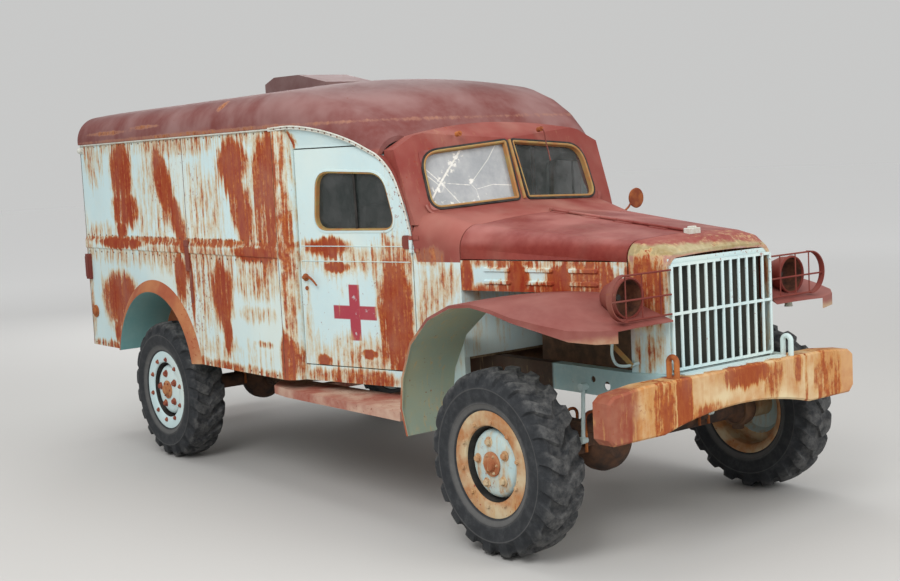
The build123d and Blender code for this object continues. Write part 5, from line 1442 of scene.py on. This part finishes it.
def smooth_path(points: Line, count: int) -> Array:
    """A path through given points, read along a smooth curve at equal shares of its length.

    The smooth curve is smooth_table's, over the length of the straight runs up to each point.

    Args:
        points: the points in order.
        count: points of the path.

    Returns:
        Rows of points.
    """
    points = np.asarray(points, float)
    reach = np.concatenate([[0.0], np.cumsum(np.linalg.norm(np.diff(points, axis=0), axis=1))])
    return smooth_table(np.column_stack([reach, points]), np.linspace(0, reach[-1], count))


SIDE_LEAN = math.atan(TAPER)
RIGHT_SIDE = Flat(
    (DOOR_REAR_X, -side_y(DOOR_REAR_X), 0.0), (math.cos(SIDE_LEAN), math.sin(SIDE_LEAN), 0.0), (0.0, 0.0, 1.0)
)


@dataclass(frozen=True)
class Windscreen:
    """Rubber and seals round the two panes, with rounded corners over the shell's openings.

    Each pane lies in a plane through the top middle, raked back and turned out by the vee. Loops
    run round the pane: a painted corner plate, a black gasket and a crowned seal. A section's rows
    are how far the loop is grown, and its height over the plane.
    """

    seal: bpy.types.Material
    gasket: bpy.types.Material
    paint: bpy.types.Material
    top: Point = (0.993, 0.0, 1.781)
    rake: float = 19.2
    vee: float = 6.1
    corners: tuple[Pair, ...] = ((0.022, 0.008), (0.533, -0.034), (0.533, -0.318), (0.022, -0.296))
    radii: tuple[float, ...] = (0.012, 0.105, 0.062, 0.012)
    gasket_section: tuple[Pair, ...] = ((0.014, 0.009), (0.012, 0.0150), (0.002, 0.0145), (0.001, -0.006))
    seal_section: tuple[Pair, ...] = (
        (0.003, 0.004), (0.002, 0.0150), (-0.003, 0.0168), (-0.008, 0.0130), (-0.009, -0.012), (0.0, -0.012),
    )
    foot_line: tuple[Pair, ...] = (
        (0.0, -0.330), (0.18, -0.337), (0.36, -0.344), (0.50, -0.350), (0.552, -0.338), (0.566, -0.300),
    )
    post_below: float = 0.302
    post_above: float = 0.012
    post_out: float = 0.013

    def plane(self) -> Flat:
        """Plane of the left pane: across runs outboard, up along the rake.

        Returns:
            The plane, with its origin at the top middle.
        """
        r, v = math.radians(self.rake), math.radians(self.vee)
        face = (math.cos(v) * math.cos(r), math.sin(v) * math.cos(r), math.sin(r))
        across = unit((-math.sin(v), math.cos(v), 0.0))
        return Flat(self.top, across, tuple(float(v) for v in np.cross(face, across)))

    def build(self) -> None:
        """Builds both sides, the post between them and the lip along their foot."""
        plane = self.plane()
        square = rounded_loop(self.corners, (0.008,) * 4)
        opening = rounded_loop(self.corners, self.radii)
        plate = plane.band(
            (square, 0.010, 0.0075), (square, 0.010, 0.0110), (opening, -0.002, 0.0110), (opening, -0.002, -0.004)
        )
        black = plane.band(*((opening, by, height) for by, height in self.gasket_section))
        yellow = plane.band(*((opening, by, height) for by, height in self.seal_section))
        place_shape("windscreen_corner_plates", both(plate), self.paint, smooth=40.0)
        place_shape("windscreen_gaskets", both(black), self.gasket)
        place_shape("windscreen_seals", both(yellow), self.seal)
        r = math.radians(self.rake)
        out, up = np.array((math.cos(r), 0.0, math.sin(r))), np.array((-math.sin(r), 0.0, math.cos(r)))
        foot = np.array(self.top) - up * self.post_below + out * self.post_out
        head = np.array(self.top) + up * self.post_above + out * self.post_out
        step = np.linspace(0, 1, 8)[:, None]
        place_shape("windscreen_post", tube(foot + (head - foot) * step, 0.0105, 12, 0.7), self.seal)
        lip = smooth_path(plane.put(np.array(self.foot_line), 0.012), 26)
        place_shape("windscreen_foot_lip", both(tube(lip, 0.010, 10, 0.6)), self.paint)


@dataclass(frozen=True)
class CabTrim:
    """Drip rail over the door, its studs, the door's window seals, creases, lever and hinge plate.

    The door's pieces lie on the cab's tapered side, in its along and up.
    """

    white: bpy.types.Material
    rivet: bpy.types.Material
    seal: bpy.types.Material
    gasket: bpy.types.Material
    paint: bpy.types.Material
    plate: bpy.types.Material
    steel: bpy.types.Material
    rail_points: tuple[Point, ...] = (
        (0.212, -0.9380, 1.914), (0.331, -0.8850, 1.919), (0.440, -0.8500, 1.906), (0.543, -0.8170, 1.884),
        (0.700, -0.7690, 1.832), (0.800, -0.7360, 1.782), (0.853, -0.7190, 1.752), (0.928, -0.6960, 1.671),
        (0.988, -0.6810, 1.530), (1.016, -0.6740, 1.430), (1.039, -0.6690, 1.322),
    )
    window: tuple[Pair, ...] = ((0.118, 1.390), (0.662, 1.390), (0.588, 1.664), (0.146, 1.684))
    window_radius: float = 0.085
    gasket_section: tuple[Pair, ...] = (
        (0.016, 0.0), (0.014, 0.004), (0.004, 0.005), (0.002, -0.030), (0.010, -0.030),
    )
    seal_section: tuple[Pair, ...] = (
        (0.005, -0.002), (0.002, 0.0030), (-0.004, 0.0), (-0.007, -0.022), (0.003, -0.022),
    )
    window_bar: tuple[Pair, ...] = ((0.392, 1.392), (0.392, 1.45), (0.388, 1.60), (0.386, 1.676))
    creases: tuple[tuple[str, float], ...] = (("upper_crease", 1.308), ("lower_crease", 1.232))
    crease_run: Pair = (0.012, 0.742)
    lever: tuple[Point, ...] = (
        (0.030, 1.148, 0.020), (0.052, 1.156, 0.030), (0.085, 1.150, 0.030), (0.112, 1.128, 0.026),
        (0.124, 1.108, 0.020),
    )
    boss: Pair = (0.034, 1.148)
    lock: Pair = (0.036, 1.092)
    hinge: tuple[Pair, ...] = ((0.700, 1.296), (0.752, 1.296), (0.752, 1.362), (0.700, 1.362))

    def rail(self) -> None:
        """Two strips of the drip rail with studs between them."""
        path = smooth_path(self.rail_points, 60)
        lower = path + np.array([0.0, 0.0, -0.011])
        strips = joined([tube(path, 0.0050, 8), tube(lower, 0.0042, 8, 0.8)])
        place_shape("drip_rails", both(strips), self.white)
        studs = smooth_path(self.rail_points, 30)[1:-1] + np.array([0.0, -0.003, -0.0055])
        place_shape("drip_rail_studs", both(bolts(studs, (0.25, -1, 0), 0.0042, 0.004, 8)), self.rivet)

    def door(self, side: int) -> None:
        """Everything on one door's skin.

        Args:
            side: -1 for the right and 1 for the left.
        """
        hand = "right" if side < 0 else "left"
        skin, out = RIGHT_SIDE, RIGHT_SIDE.out()

        def put(name: str, shape: Shape, material: bpy.types.Material) -> None:
            """Places a shape of the right door, or its mirror image."""
            placed = shape if side < 0 else shape.mirrored()
            place_shape(f"{hand}_door_{name}", placed, material, f"{hand}_cab_door")

        loop = rounded_loop(self.window, (self.window_radius,) * 4)
        put("window_gasket", skin.band(*((loop, by, height) for by, height in self.gasket_section)), self.paint)
        put("window_seal", skin.band(*((loop, by, height) for by, height in self.seal_section)), self.seal)
        put("window_bar", tube(skin.put(np.array(self.window_bar), -0.016), 0.0085, 8, 0.6), self.gasket)
        for name, z in self.creases:
            line = skin.put(np.stack([np.linspace(*self.crease_run, 24), np.full(24, z)], -1), 0.0002)
            put(name, tube(line, 0.0032, 8, 0.75), self.paint)
        bend = np.array(self.lever)
        grip = smooth_path(skin.put(bend[:, :2], bend[:, 2]), 20)
        put("lever", tube(grip, np.linspace(0.009, 0.0055, 20), 10, 0.7), self.steel)
        middle, lock = skin.put(np.array([self.boss, self.lock]))
        collar = tube((middle - out * 0.002, middle + out * 0.006), 0.020, 16)
        put("lever_boss", joined([collar, tube((middle, middle + out * 0.024), 0.008, 12)]), self.steel)
        put("lock", tube((lock, lock + out * 0.004), 0.011, 14), self.steel)

    def build(self) -> None:
        """Builds it all."""
        self.rail()
        self.door(-1)
        self.door(1)
        foot = np.asarray(RIGHT_SIDE.origin) + RIGHT_SIDE.out() * 0.0005
        outline = rounded_loop(self.hinge, (0.016,) * 4, 5)
        plate = prism(outline, foot, np.array(RIGHT_SIDE.across), np.array(RIGHT_SIDE.up), 0.006)
        place_shape("right_door_hinge_plate", plate, self.plate, "right_cab_door")
        place_shape("left_door_hinge_plate", plate.mirrored(), self.plate, "left_cab_door")


@dataclass(frozen=True)
class BoxTrim:
    """Gutter, seams, straps, studs, reflector brackets, marker lamps and filler of the box body."""

    white: bpy.types.Material
    rivet: bpy.types.Material
    plate: bpy.types.Material
    dark: bpy.types.Material
    steel: bpy.types.Material
    half: float = 0.929
    rear_x: float = BOX_REAR_X
    front_x: float = 0.223
    seams: tuple[Point, ...] = ((0.2215, 0.630, 1.906), (-0.775, 1.330, 1.902), (-2.190, 0.640, 1.900))
    stud_rows: tuple[float, ...] = (1.229, 1.336, 1.895, 0.632)
    stud_pitch: float = 0.092
    arch_half: float = 0.60
    filler: Pair = (-2.125, 0.837)
    marker: Pair = (-2.170, 1.878)

    def gutter(self) -> None:
        """Rolled gutter under the roof's edge and round the back."""
        y, x = -self.half - 0.006, self.rear_x - 0.006
        path = [(self.front_x, y, 1.909), (-2.150, y, 1.909), (-2.183, y + 0.006, 1.909), (-2.201, y + 0.024, 1.910)]
        path += [(x, y + 0.060, 1.911), (x, 0.0, 1.911)]
        place_shape("gutters", both(tube(path, 0.0055, 8, 0.8)), self.white)

    def side(self) -> None:
        """Straps, seams and rows of studs of the side panels; no stud stands over the wheel's arch."""
        out = -self.half
        strap = [
            brick((-0.775, out - 0.0035, 0.965), (-0.748, out + 0.001, 1.165)),
            brick((-0.800, out - 0.0120, 1.150), (-0.758, out - 0.0020, 1.322)),
            brick((-0.803, out - 0.0150, 1.290), (-0.752, out - 0.0080, 1.326)),
        ]
        place_shape("side_straps", both(joined(strap)), self.plate, bevel=0.0015)
        seams = [tube(((x, out - 0.0006, low), (x, out - 0.0006, high)), 0.0018, 6) for x, low, high in self.seams]
        place_shape("side_seams", both(joined(seams)), self.dark)
        along = np.arange(self.rear_x + 0.045, self.front_x - 0.02, self.stud_pitch)
        level = np.full(len(along), 1.0)
        rows = np.concatenate([np.stack([along, level * out, level * z], -1) for z in self.stud_rows])
        keep = ~((np.abs(rows[:, 0] - REAR_AXLE_X + 0.027) < self.arch_half) & (rows[:, 2] < 1.0))
        place_shape("side_studs", both(bolts(rows[keep], (0, -1, 0), 0.0048, 0.0028, 8)), self.rivet)

    def build(self) -> None:
        """Builds it all."""
        self.gutter()
        self.side()
        out = -self.half
        bracket = [
            brick((-2.196, out - 0.022, 1.047), (-2.140, out + 0.001, 1.211)),
            brick((-2.190, out - 0.028, 1.062), (-2.148, out - 0.020, 1.196)),
        ]
        place_shape("reflector_brackets", both(joined(bracket)), self.plate, bevel=0.003)
        x, z = self.filler
        filler = [
            tube(((x, out + 0.001, z), (x, out - 0.009, z)), 0.040, 28),
            tube(((x, out - 0.009, z), (x, out - 0.020, z)), (0.028, 0.024), 20),
        ]
        place_shape("filler_cap", joined(filler), self.steel, bevel=0.002)
        x, z = self.marker
        marker = [
            brick((-2.198, out - 0.004, 1.856), (-2.140, out + 0.002, 1.898)),
            tube([(x, out - sunk, z) for sunk in (0.002, 0.022, 0.030)], (0.019, 0.018, 0.009), 18),
        ]
        place_shape("roof_markers", both(joined(marker)), self.white, bevel=0.0015)


@dataclass(frozen=True)
class RearTrim:
    """Rear door lever, the strip over the doors' gap, and tail lamps."""

    steel: bpy.types.Material
    lamp: bpy.types.Material
    plate: bpy.types.Material
    x: float = BOX_REAR_X
    lever_y: float = -0.060
    lamp_y: float = 0.800
    lamp_z: float = 0.985
    bucket: tuple[Pair, ...] = ((0.0, 0.0), (0.040, 0.0), (0.046, 0.020), (0.046, 0.050), (0.040, 0.052), (0.0, 0.052))
    lens: tuple[Pair, ...] = ((0.0, 0.0), (0.039, 0.0), (0.034, 0.008), (0.018, 0.013), (0.0, 0.014))

    def backward(self, profile: Profile, around: int, x: float, y: float) -> Shape:
        """A turned piece that points to the rear: the form turned round X, with X turned about.

        Args:
            profile: rows of (radius, height).
            around: points round the axis.
            x: station of its foot.
            y: its place across the truck.

        Returns:
            The piece.
        """
        form = lathe(profile, around, (0, 0, 0), "X")
        return Shape(form.points * np.array([-1, 1, 1]) + np.array([x, y, self.lamp_z]), form.faces)

    def build(self) -> None:
        """Builds it all."""
        x, y = self.x, self.lever_y
        stem = [
            tube(((x + 0.001, y, 1.215), (x - 0.030, y, 1.215)), 0.010, 14),
            tube(((x - 0.026, y, 1.225), (x - 0.028, y, 1.170), (x - 0.022, y, 1.115)), (0.010, 0.009, 0.006), 12, 0.7),
            tube(((x + 0.001, y, 1.215), (x - 0.006, y, 1.215)), 0.026, 20),
        ]
        place_shape("rear_door_lever", joined(stem), self.steel, "right_rear_door")
        edge = brick((x - 0.004, -0.0030, 0.668), (x + 0.001, 0.030, 1.842))
        place_shape("rear_door_overlap", edge, self.plate, "left_rear_door", bevel=0.001)
        for name, y in (("right", -self.lamp_y), ("left", self.lamp_y)):
            place_shape(f"tail_lamp_{name}", self.backward(self.bucket, 32, x - 0.001, y), self.steel)
            place_shape(f"tail_lens_{name}", self.backward(self.lens, 28, x - 0.053, y), self.lamp)


@dataclass(frozen=True)
class FrontTrim:
    """Lamp rims and bowls, marker lamps, bumper cracks and apron, hood catch, wipers and mirror."""

    oxide: bpy.types.Material
    white: bpy.types.Material
    dark: bpy.types.Material
    rust: bpy.types.Material
    bar: bpy.types.Material
    bowl: bpy.types.Material
    lamp: Point = (2.334, 0.526, 1.112)
    rim_section: tuple[Pair, ...] = (
        (0.0795, -0.004), (0.0845, -0.004), (0.0885, 0.004), (0.0860, 0.011), (0.0800, 0.012), (0.0770, 0.006),
    )
    bowl_section: tuple[Pair, ...] = (
        (0.0, -0.085), (0.030, -0.082), (0.055, -0.065), (0.070, -0.036), (0.0765, -0.002), (0.0785, -0.002),
        (0.072, -0.038), (0.057, -0.068), (0.031, -0.086), (0.0, -0.089),
    )
    pod_section: tuple[Pair, ...] = (
        (0.0, 0.0), (0.022, 0.0), (0.026, 0.014), (0.026, 0.052), (0.020, 0.062), (0.0, 0.065),
    )
    cracks: tuple[tuple[Pair, Pair, float], ...] = (
        ((-0.388, 0.764), (-0.397, 0.572), 0.7), ((0.434, 0.764), (0.451, 0.566), 2.1),
    )
    apron: Pair = (-0.30, 0.345)
    wiper: tuple[Point, ...] = (
        (1.010, 0.219, 1.846), (1.020, 0.221, 1.835), (1.030, 0.224, 1.780), (1.048, 0.226, 1.715),
        (1.062, 0.222, 1.680),
    )
    mirror_rod: tuple[Point, ...] = (
        (1.050, 0.664, 1.360), (1.062, 0.700, 1.372), (1.066, 0.760, 1.400), (1.058, 0.800, 1.430),
    )
    mirror_section: tuple[Pair, ...] = (
        (0.0, -0.010), (0.030, -0.008), (0.052, 0.0), (0.055, 0.008), (0.050, 0.012), (0.0, 0.012),
    )

    def lamps(self) -> None:
        """Rim, inner bowl and bulb holder of both headlamps, whose lenses are missing."""
        x, y, z = self.lamp
        place_shape("headlamp_rims", both(lathe(self.rim_section, 48, (x - 0.004, y, z), "X")), self.oxide)
        place_shape("headlamp_bowls", both(lathe(self.bowl_section, 40, self.lamp, "X")), self.bowl)
        holder = tube(((x - 0.086, y, z), (x - 0.058, y, z)), (0.016, 0.013), 16)
        place_shape("bulb_holders", both(holder), self.dark)
        pod = lathe(self.pod_section, 28, (2.222, 0.606, 1.018), "X")
        foot = tube(((2.252, 0.606, 1.000), (2.252, 0.606, 0.952)), (0.011, 0.020), 12)
        place_shape("marker_lamps", both(joined([pod, foot])), self.white)

    def bumper(self) -> None:
        """Two welded cracks down the bumper's face, as ragged beads, and the apron behind it.

        A crack's line sways by two sines of its height; the apron's front edge is a straight line
        and two sines of its place across.
        """
        share = np.linspace(0, 1, 40)
        parts = []
        for top, foot, sway in self.cracks:
            y = top[0] + (foot[0] - top[0]) * share
            z = top[1] + (foot[1] - top[1]) * share
            wave = 0.0045 * np.sin(z * 190 + sway) + 0.0030 * np.sin(z * 71 + 2 * sway)
            path = np.stack([np.full(40, BUMPER_X - 0.0052), y + wave, z], -1)
            parts.append(tube(path, 0.0040 + 0.0012 * np.sin(z * 230 + sway), 7))
        place_shape("bumper_cracks", joined(parts), self.rust)
        edge = np.linspace(*self.apron, 40)
        ragged = 2.440 + 0.010 * np.sin(edge * 47) + 0.006 * np.sin(edge * 113 + 1)
        outline = np.concatenate([np.stack([ragged, edge], -1), [(2.386, self.apron[1]), (2.386, self.apron[0])]])
        apron = prism(outline, np.array([0.0, 0.0, 0.7665]), np.array([1.0, 0, 0]), np.array([0, 1.0, 0]), 0.005)
        place_shape("bumper_apron", apron, self.bar)

    def nose(self) -> None:
        """Hood catch on the nose, and the lip over the grille."""
        block = [
            brick((2.199, -0.036, 1.336), (2.236, 0.036, 1.3640)),
            brick((2.207, -0.020, 1.362), (2.228, 0.020, 1.372)),
        ]
        place_shape("hood_catch", joined(block), self.white, bevel=0.003)
        place_shape("grille_lip", brick((2.3665, -0.325, 1.226), (2.3715, 0.325, 1.257)), self.bar, bevel=0.002)

    def wipers(self) -> None:
        """Two wiper pivots on the header and the one thin arm that is left."""
        for name, y, z in (("right", -0.318, 1.835), ("left", 0.219, 1.842)):
            spot = np.array([0.983, y, z])
            boss = [
                tube((spot - (0.004, 0, 0.0), spot + (0.022, 0, 0.004)), 0.013, 14),
                tube((spot + (0.018, 0, 0.004), spot + (0.030, 0, 0.008)), 0.007, 10),
            ]
            place_shape(f"wiper_pivot_{name}", joined(boss), self.rust)
        place_shape("wiper_arm", tube(smooth_path(self.wiper, 24), 0.0032, 7), self.oxide)

    def mirror(self) -> None:
        """Round mirror on a bent rod at the left pillar."""
        place_shape("mirror_rod", tube(smooth_path(self.mirror_rod, 20), 0.0055, 8), self.rust)
        place_shape("mirror_head", lathe(self.mirror_section, 32, (1.052, 0.838, 1.452), "X"), self.rust)

    def build(self) -> None:
        """Builds it all."""
        self.lamps()
        self.bumper()
        self.nose()
        self.wipers()
        self.mirror()


@dataclass(frozen=True)
class Underside:
    """Spring clips, damper links, nose braces and the pale vent hose."""

    steel: bpy.types.Material
    pale: bpy.types.Material
    yellow: bpy.types.Material
    spring_y: float = 0.372
    clip_half: float = 0.032
    clip_spread: float = 0.062
    clip_path: tuple[Pair, ...] = ((0.0, 0.385), (0.0, 0.50), (0.0, 0.545), (0.014, 0.560))
    link: tuple[Pair, ...] = ((1.924, 0.684), (1.910, 0.440))
    hose: tuple[Point, ...] = (
        (2.115, -0.400, 0.985), (2.112, -0.412, 0.900), (2.122, -0.424, 0.840), (2.150, -0.428, 0.806),
        (2.190, -0.414, 0.800), (2.232, -0.372, 0.812),
    )

    def clips(self, axle_x: float) -> Shape:
        """U bolts over the left spring at one axle: up, over and down.

        Args:
            axle_x: the axle's station.

        Returns:
            Both bolts as one shape.
        """
        parts = []
        for x in (axle_x - self.clip_spread, axle_x + self.clip_spread):
            inner = [(x, self.spring_y - self.clip_half + inset, z) for inset, z in self.clip_path]
            outer = [(x, self.spring_y + self.clip_half - inset, z) for inset, z in reversed(self.clip_path)]
            parts.append(tube(smooth_path(inner + outer, 30), 0.0075, 8))
        return joined(parts)

    def build(self) -> None:
        """Builds it all."""
        place_shape("spring_clips", both(joined([self.clips(FRONT_AXLE_X), self.clips(REAR_AXLE_X)])), self.steel)
        link = [tube([(x, 0.418, z) for x, z in self.link], 0.0095, 12)]
        link += [tube(((x, 0.400, z), (x, 0.436, z)), 0.017, 14) for x, z in self.link]
        place_shape("damper_links", both(joined(link)), self.pale)
        brace = tube(((2.050, 0.396, 0.915), (2.214, 0.396, 0.800)), 0.013, 8, 0.5)
        place_shape("nose_braces", both(brace), self.yellow)
        place_shape("vent_hose", tube(smooth_path(self.hose, 30), 0.0065, 8), self.pale)


@dataclass(frozen=True)
class CabInside:
    """Crowned cushions, gauges and gear levers."""

    canvas: bpy.types.Material
    dark: bpy.types.Material
    steel: bpy.types.Material
    seats: tuple[float, ...] = (-0.330, 0.330)
    seat_half: float = 0.212
    channels: int = 4
    around: int = 72
    rows: int = 40
    dial: tuple[Pair, ...] = ((0.0, 0.0), (0.046, 0.0), (0.048, -0.006), (0.043, -0.010), (0.0, -0.008))
    dials: tuple[float, ...] = (0.14, 0.25, 0.40, 0.51)
    levers: tuple[float, ...] = (0.02, -0.06)

    def cushion(self, low: Array, high: Array, crown_axis: int) -> Shape:
        """A padded block: a superellipsoid whose face has sewn channels.

        Each point is centre + half * sign(c) |c|^0.36 for the sphere's c, less a groove of
        cosines across the channels on the crowned face.

        Args:
            low: lower corner.
            high: upper corner.
            crown_axis: axis that the crowned face looks along.

        Returns:
            The closed pad.
        """
        u = np.linspace(0, math.tau, self.around, endpoint=False)
        v = np.linspace(-math.pi / 2 + 0.02, math.pi / 2 - 0.02, self.rows)
        level = np.outer(np.sin(v), np.ones(self.around))
        ball = np.stack([np.outer(np.cos(v), np.cos(u)), np.outer(np.cos(v), np.sin(u)), level], -1)
        soft = np.sign(ball) * np.abs(ball) ** 0.36
        order = [(1, 2, 0), (0, 2, 1), (0, 1, 2)][crown_axis]
        centre, half = (low + high) / 2, (high - low) / 2
        place = np.empty_like(soft)
        for target, source in zip(order, range(3)):
            place[..., target] = soft[..., source]
        groove = 0.5 + 0.5 * np.cos(place[..., 1] * math.pi * self.channels)
        face = np.clip(place[..., crown_axis], 0, 1) ** 6
        edge = 1 - 0.10 * (1 - np.clip(1.15 - np.abs(place[..., 1]) ** 4, 0, 1))
        points = centre + place * half * edge[..., None]
        points[..., crown_axis] -= 0.010 * groove * face
        first, last = range(self.around), range((self.rows - 1) * self.around, self.rows * self.around)
        faces = [tuple(f) for f in grid_faces(self.rows, self.around, False, True)]
        return Shape(points.reshape(-1, 3), faces + [tuple(first)[::-1], tuple(last)])

    def build(self) -> None:
        """Builds it all."""
        pads, wide = [], self.seat_half
        for y in self.seats:
            pads.append(self.cushion(np.array([0.398, y - wide, 0.9605]), np.array([0.822, y + wide, 1.058]), 2))
            pads.append(self.cushion(np.array([0.2900, y - wide, 1.083]), np.array([0.377, y + wide, 1.498]), 0))
        made = place_shape("seat_pads", joined(pads), self.canvas, smooth=60.0, replaces=("seat_cushions",))
        face = lathe(self.dial, 28, (1.0095, 0.0, 1.292), "X")
        place_shape("gauges", joined([face.moved((0.0, y, 0.0)) for y in self.dials]), self.steel)
        parts = []
        for y in self.levers:
            bend = ((0.93, y, 0.80), (0.90, y, 0.95), (0.84, y + 0.01, 1.12), (0.83, y + 0.01, 1.17))
            parts.append(tube(smooth_path(bend, 16), 0.007, 8))
        parts += [bolts([(0.83, y + 0.01, 1.165)], (0, 0, 1), 0.018, 0.034, 12) for y in self.levers]
        place_shape("gear_levers", joined(parts), self.dark)


@dataclass(frozen=True)
class Studio:
    """Camera, soft lights and a pale floor.

    The camera's axes come from its azimuth, elevation and roll: back is the way from the truck
    to the camera, right lies level, and up is back x right, both then rolled round back.
    """

    place: Point = (6.365, -4.557, 1.746)
    azimuth: float = 52.393
    elevation: float = 5.7005
    roll: float = -2.8979
    lens: float = 55.13
    floor_tone: Colour = (0.52, 0.51, 0.49)
    far_tone: Colour = (0.92, 0.91, 0.89)
    wall_tone: Colour = (0.74, 0.75, 0.76)
    wall_light: float = 0.85
    reach: float = 60.0
    lamps: tuple[tuple[str, Point, Point, float, float], ...] = (
        ("key", (4.5, -6.0, 6.0), (0.3, 0.0, 0.9), 4.0, 400.0),
        ("front", (8.0, 2.5, 4.0), (1.0, 0.0, 1.0), 4.0, 190.0),
        ("top", (-1.0, 0.0, 7.5), (0.0, 0.0, 0.0), 5.0, 170.0),
        ("back", (-7.0, 4.0, 4.5), (0.0, 0.0, 1.0), 4.0, 160.0),
    )

    def camera(self) -> None:
        """Makes the camera and sets it."""
        a, e, r = (math.radians(v) for v in (self.azimuth, self.elevation, self.roll))
        back = Vector((math.sin(a) * math.cos(e), -math.cos(a) * math.cos(e), math.sin(e)))
        right = Vector((math.cos(a), math.sin(a), 0.0))
        up = back.cross(right)
        axes = (right * math.cos(r) + up * math.sin(r), up * math.cos(r) - right * math.sin(r), back)
        data = bpy.data.cameras.new("eye")
        data.lens, data.sensor_width, data.clip_end = self.lens, 36.0, 200.0
        eye = bpy.data.objects.new("eye", data)
        bpy.context.scene.collection.objects.link(eye)
        turn = Matrix([[axis[i] for axis in axes] for i in range(3)]).to_4x4()
        eye.matrix_world = Matrix.Translation(self.place) @ turn
        bpy.context.scene.camera = eye

    def lamp(self, name: str, place: Point, target: Point, size: float, power: float) -> None:
        """One square area light that points at a target.

        Args:
            name: the light's name.
            place: where it hangs.
            target: what it points at.
            size: its side.
            power: its power in watts.
        """
        data = bpy.data.lights.new(name, "AREA")
        data.size, data.energy = size, power
        lamp = bpy.data.objects.new(name, data)
        bpy.context.scene.collection.objects.link(lamp)
        lamp.location = place
        lamp.rotation_euler = (Vector(target) - Vector(place)).to_track_quat("-Z", "Y").to_euler()

    def floor(self) -> None:
        """Pale floor plane, no part of the truck; paler with the distance, where less light falls."""
        mesh = bpy.data.meshes.new("floor")
        r = self.reach
        corners = [(-r, -r, 0), (r, -r, 0), (r, r, 0), (-r, r, 0)]
        mesh.from_pydata(corners, [], [(0, 1, 2, 3)])
        made = bpy.data.objects.new("floor", mesh)
        bpy.context.scene.collection.objects.link(made)
        g = Graph("floor_finish")
        x, y, _ = g.axes()
        far = (x * x + y * y) ** 0.5
        tone = g.mix(far.step(3.0, 16.0), self.floor_tone, self.far_tone)
        mesh.materials.append(g.finish(Base_Color=tone, Roughness=0.9))

    def sky(self) -> None:
        """Plain pale surroundings, seen in the tone that the far floor has."""
        world = bpy.data.worlds.new("surroundings")
        world.use_nodes = True
        tree = world.node_tree
        lit = tree.nodes["Background"]
        lit.inputs[0].default_value = (*self.wall_tone, 1.0)
        lit.inputs[1].default_value = self.wall_light
        seen = tree.nodes.new("ShaderNodeBackground")
        tone = tuple(a * b * self.wall_light for a, b in zip(self.far_tone, self.wall_tone))
        seen.inputs[0].default_value = (*tone, 1.0)
        path, mix = tree.nodes.new("ShaderNodeLightPath"), tree.nodes.new("ShaderNodeMixShader")
        seen_by = path.outputs["Is Camera Ray"]
        for kind in ("Is Glossy Ray", "Is Transmission Ray"):
            either = tree.nodes.new("ShaderNodeMath")
            either.operation = "MAXIMUM"
            tree.links.new(seen_by, either.inputs[0])
            tree.links.new(path.outputs[kind], either.inputs[1])
            seen_by = either.outputs[0]
        tree.links.new(seen_by, mix.inputs[0])
        tree.links.new(lit.outputs[0], mix.inputs[1])
        tree.links.new(seen.outputs[0], mix.inputs[2])
        tree.links.new(mix.outputs[0], tree.nodes["World Output"].inputs[0])
        bpy.context.scene.world = world

    def build(self) -> None:
        """Sets the stage."""
        self.camera()
        for lamp in self.lamps:
            self.lamp(*lamp)
        self.floor()
        self.sky()
        bpy.context.scene.view_settings.view_transform = "Standard"


def main() -> None:
    """Builds the truck's looks piece by piece; every piece logs itself."""
    logging.basicConfig(level=logging.INFO, format="%(message)s")
    f = Finishes()
    Carried(f).build()
    for end, x, rim, disc, bolt in (
        ("front", FRONT_AXLE_X, f.front_wheel, f.front_disc, f.front_wheel),
        ("rear", REAR_AXLE_X, f.rear_wheel, f.rear_wheel, f.red_bolt),
    ):
        tyre = Tyre(Rubber(f"{end}_rubber", x).build())
        wheel = Wheel(rim, disc, f.hub_rust, bolt, f.gasket, "wheel_paint" if end == "front" else "rear_wheel_paint")
        for name, side in (("right", -1), ("left", 1)):
            tyre.build(f"tyre_{end}_{name}", x, side)
            wheel.build(f"{end}_{name}", x, side)
    Windscreen(f.seal, f.gasket, f.hood).build()
    CabTrim(f.white, f.rivet, f.seal, f.gasket, f.cab, f.lamp_bucket, f.steel).build()
    BoxTrim(f.white, f.rivet, f.lamp_bucket, f.rivet, f.steel).build()
    RearTrim(f.steel, f.red_bolt, f.rear_doors).build()
    FrontTrim(f.lamp_bucket, f.white, f.dark, f.steel, f.bars, f.bowl).build()
    Underside(f.steel, f.box, f.seal).build()
    CabInside(f.canvas, f.dark, f.steel).build()
    Studio().build()


if __name__ == "__main__":
    main()
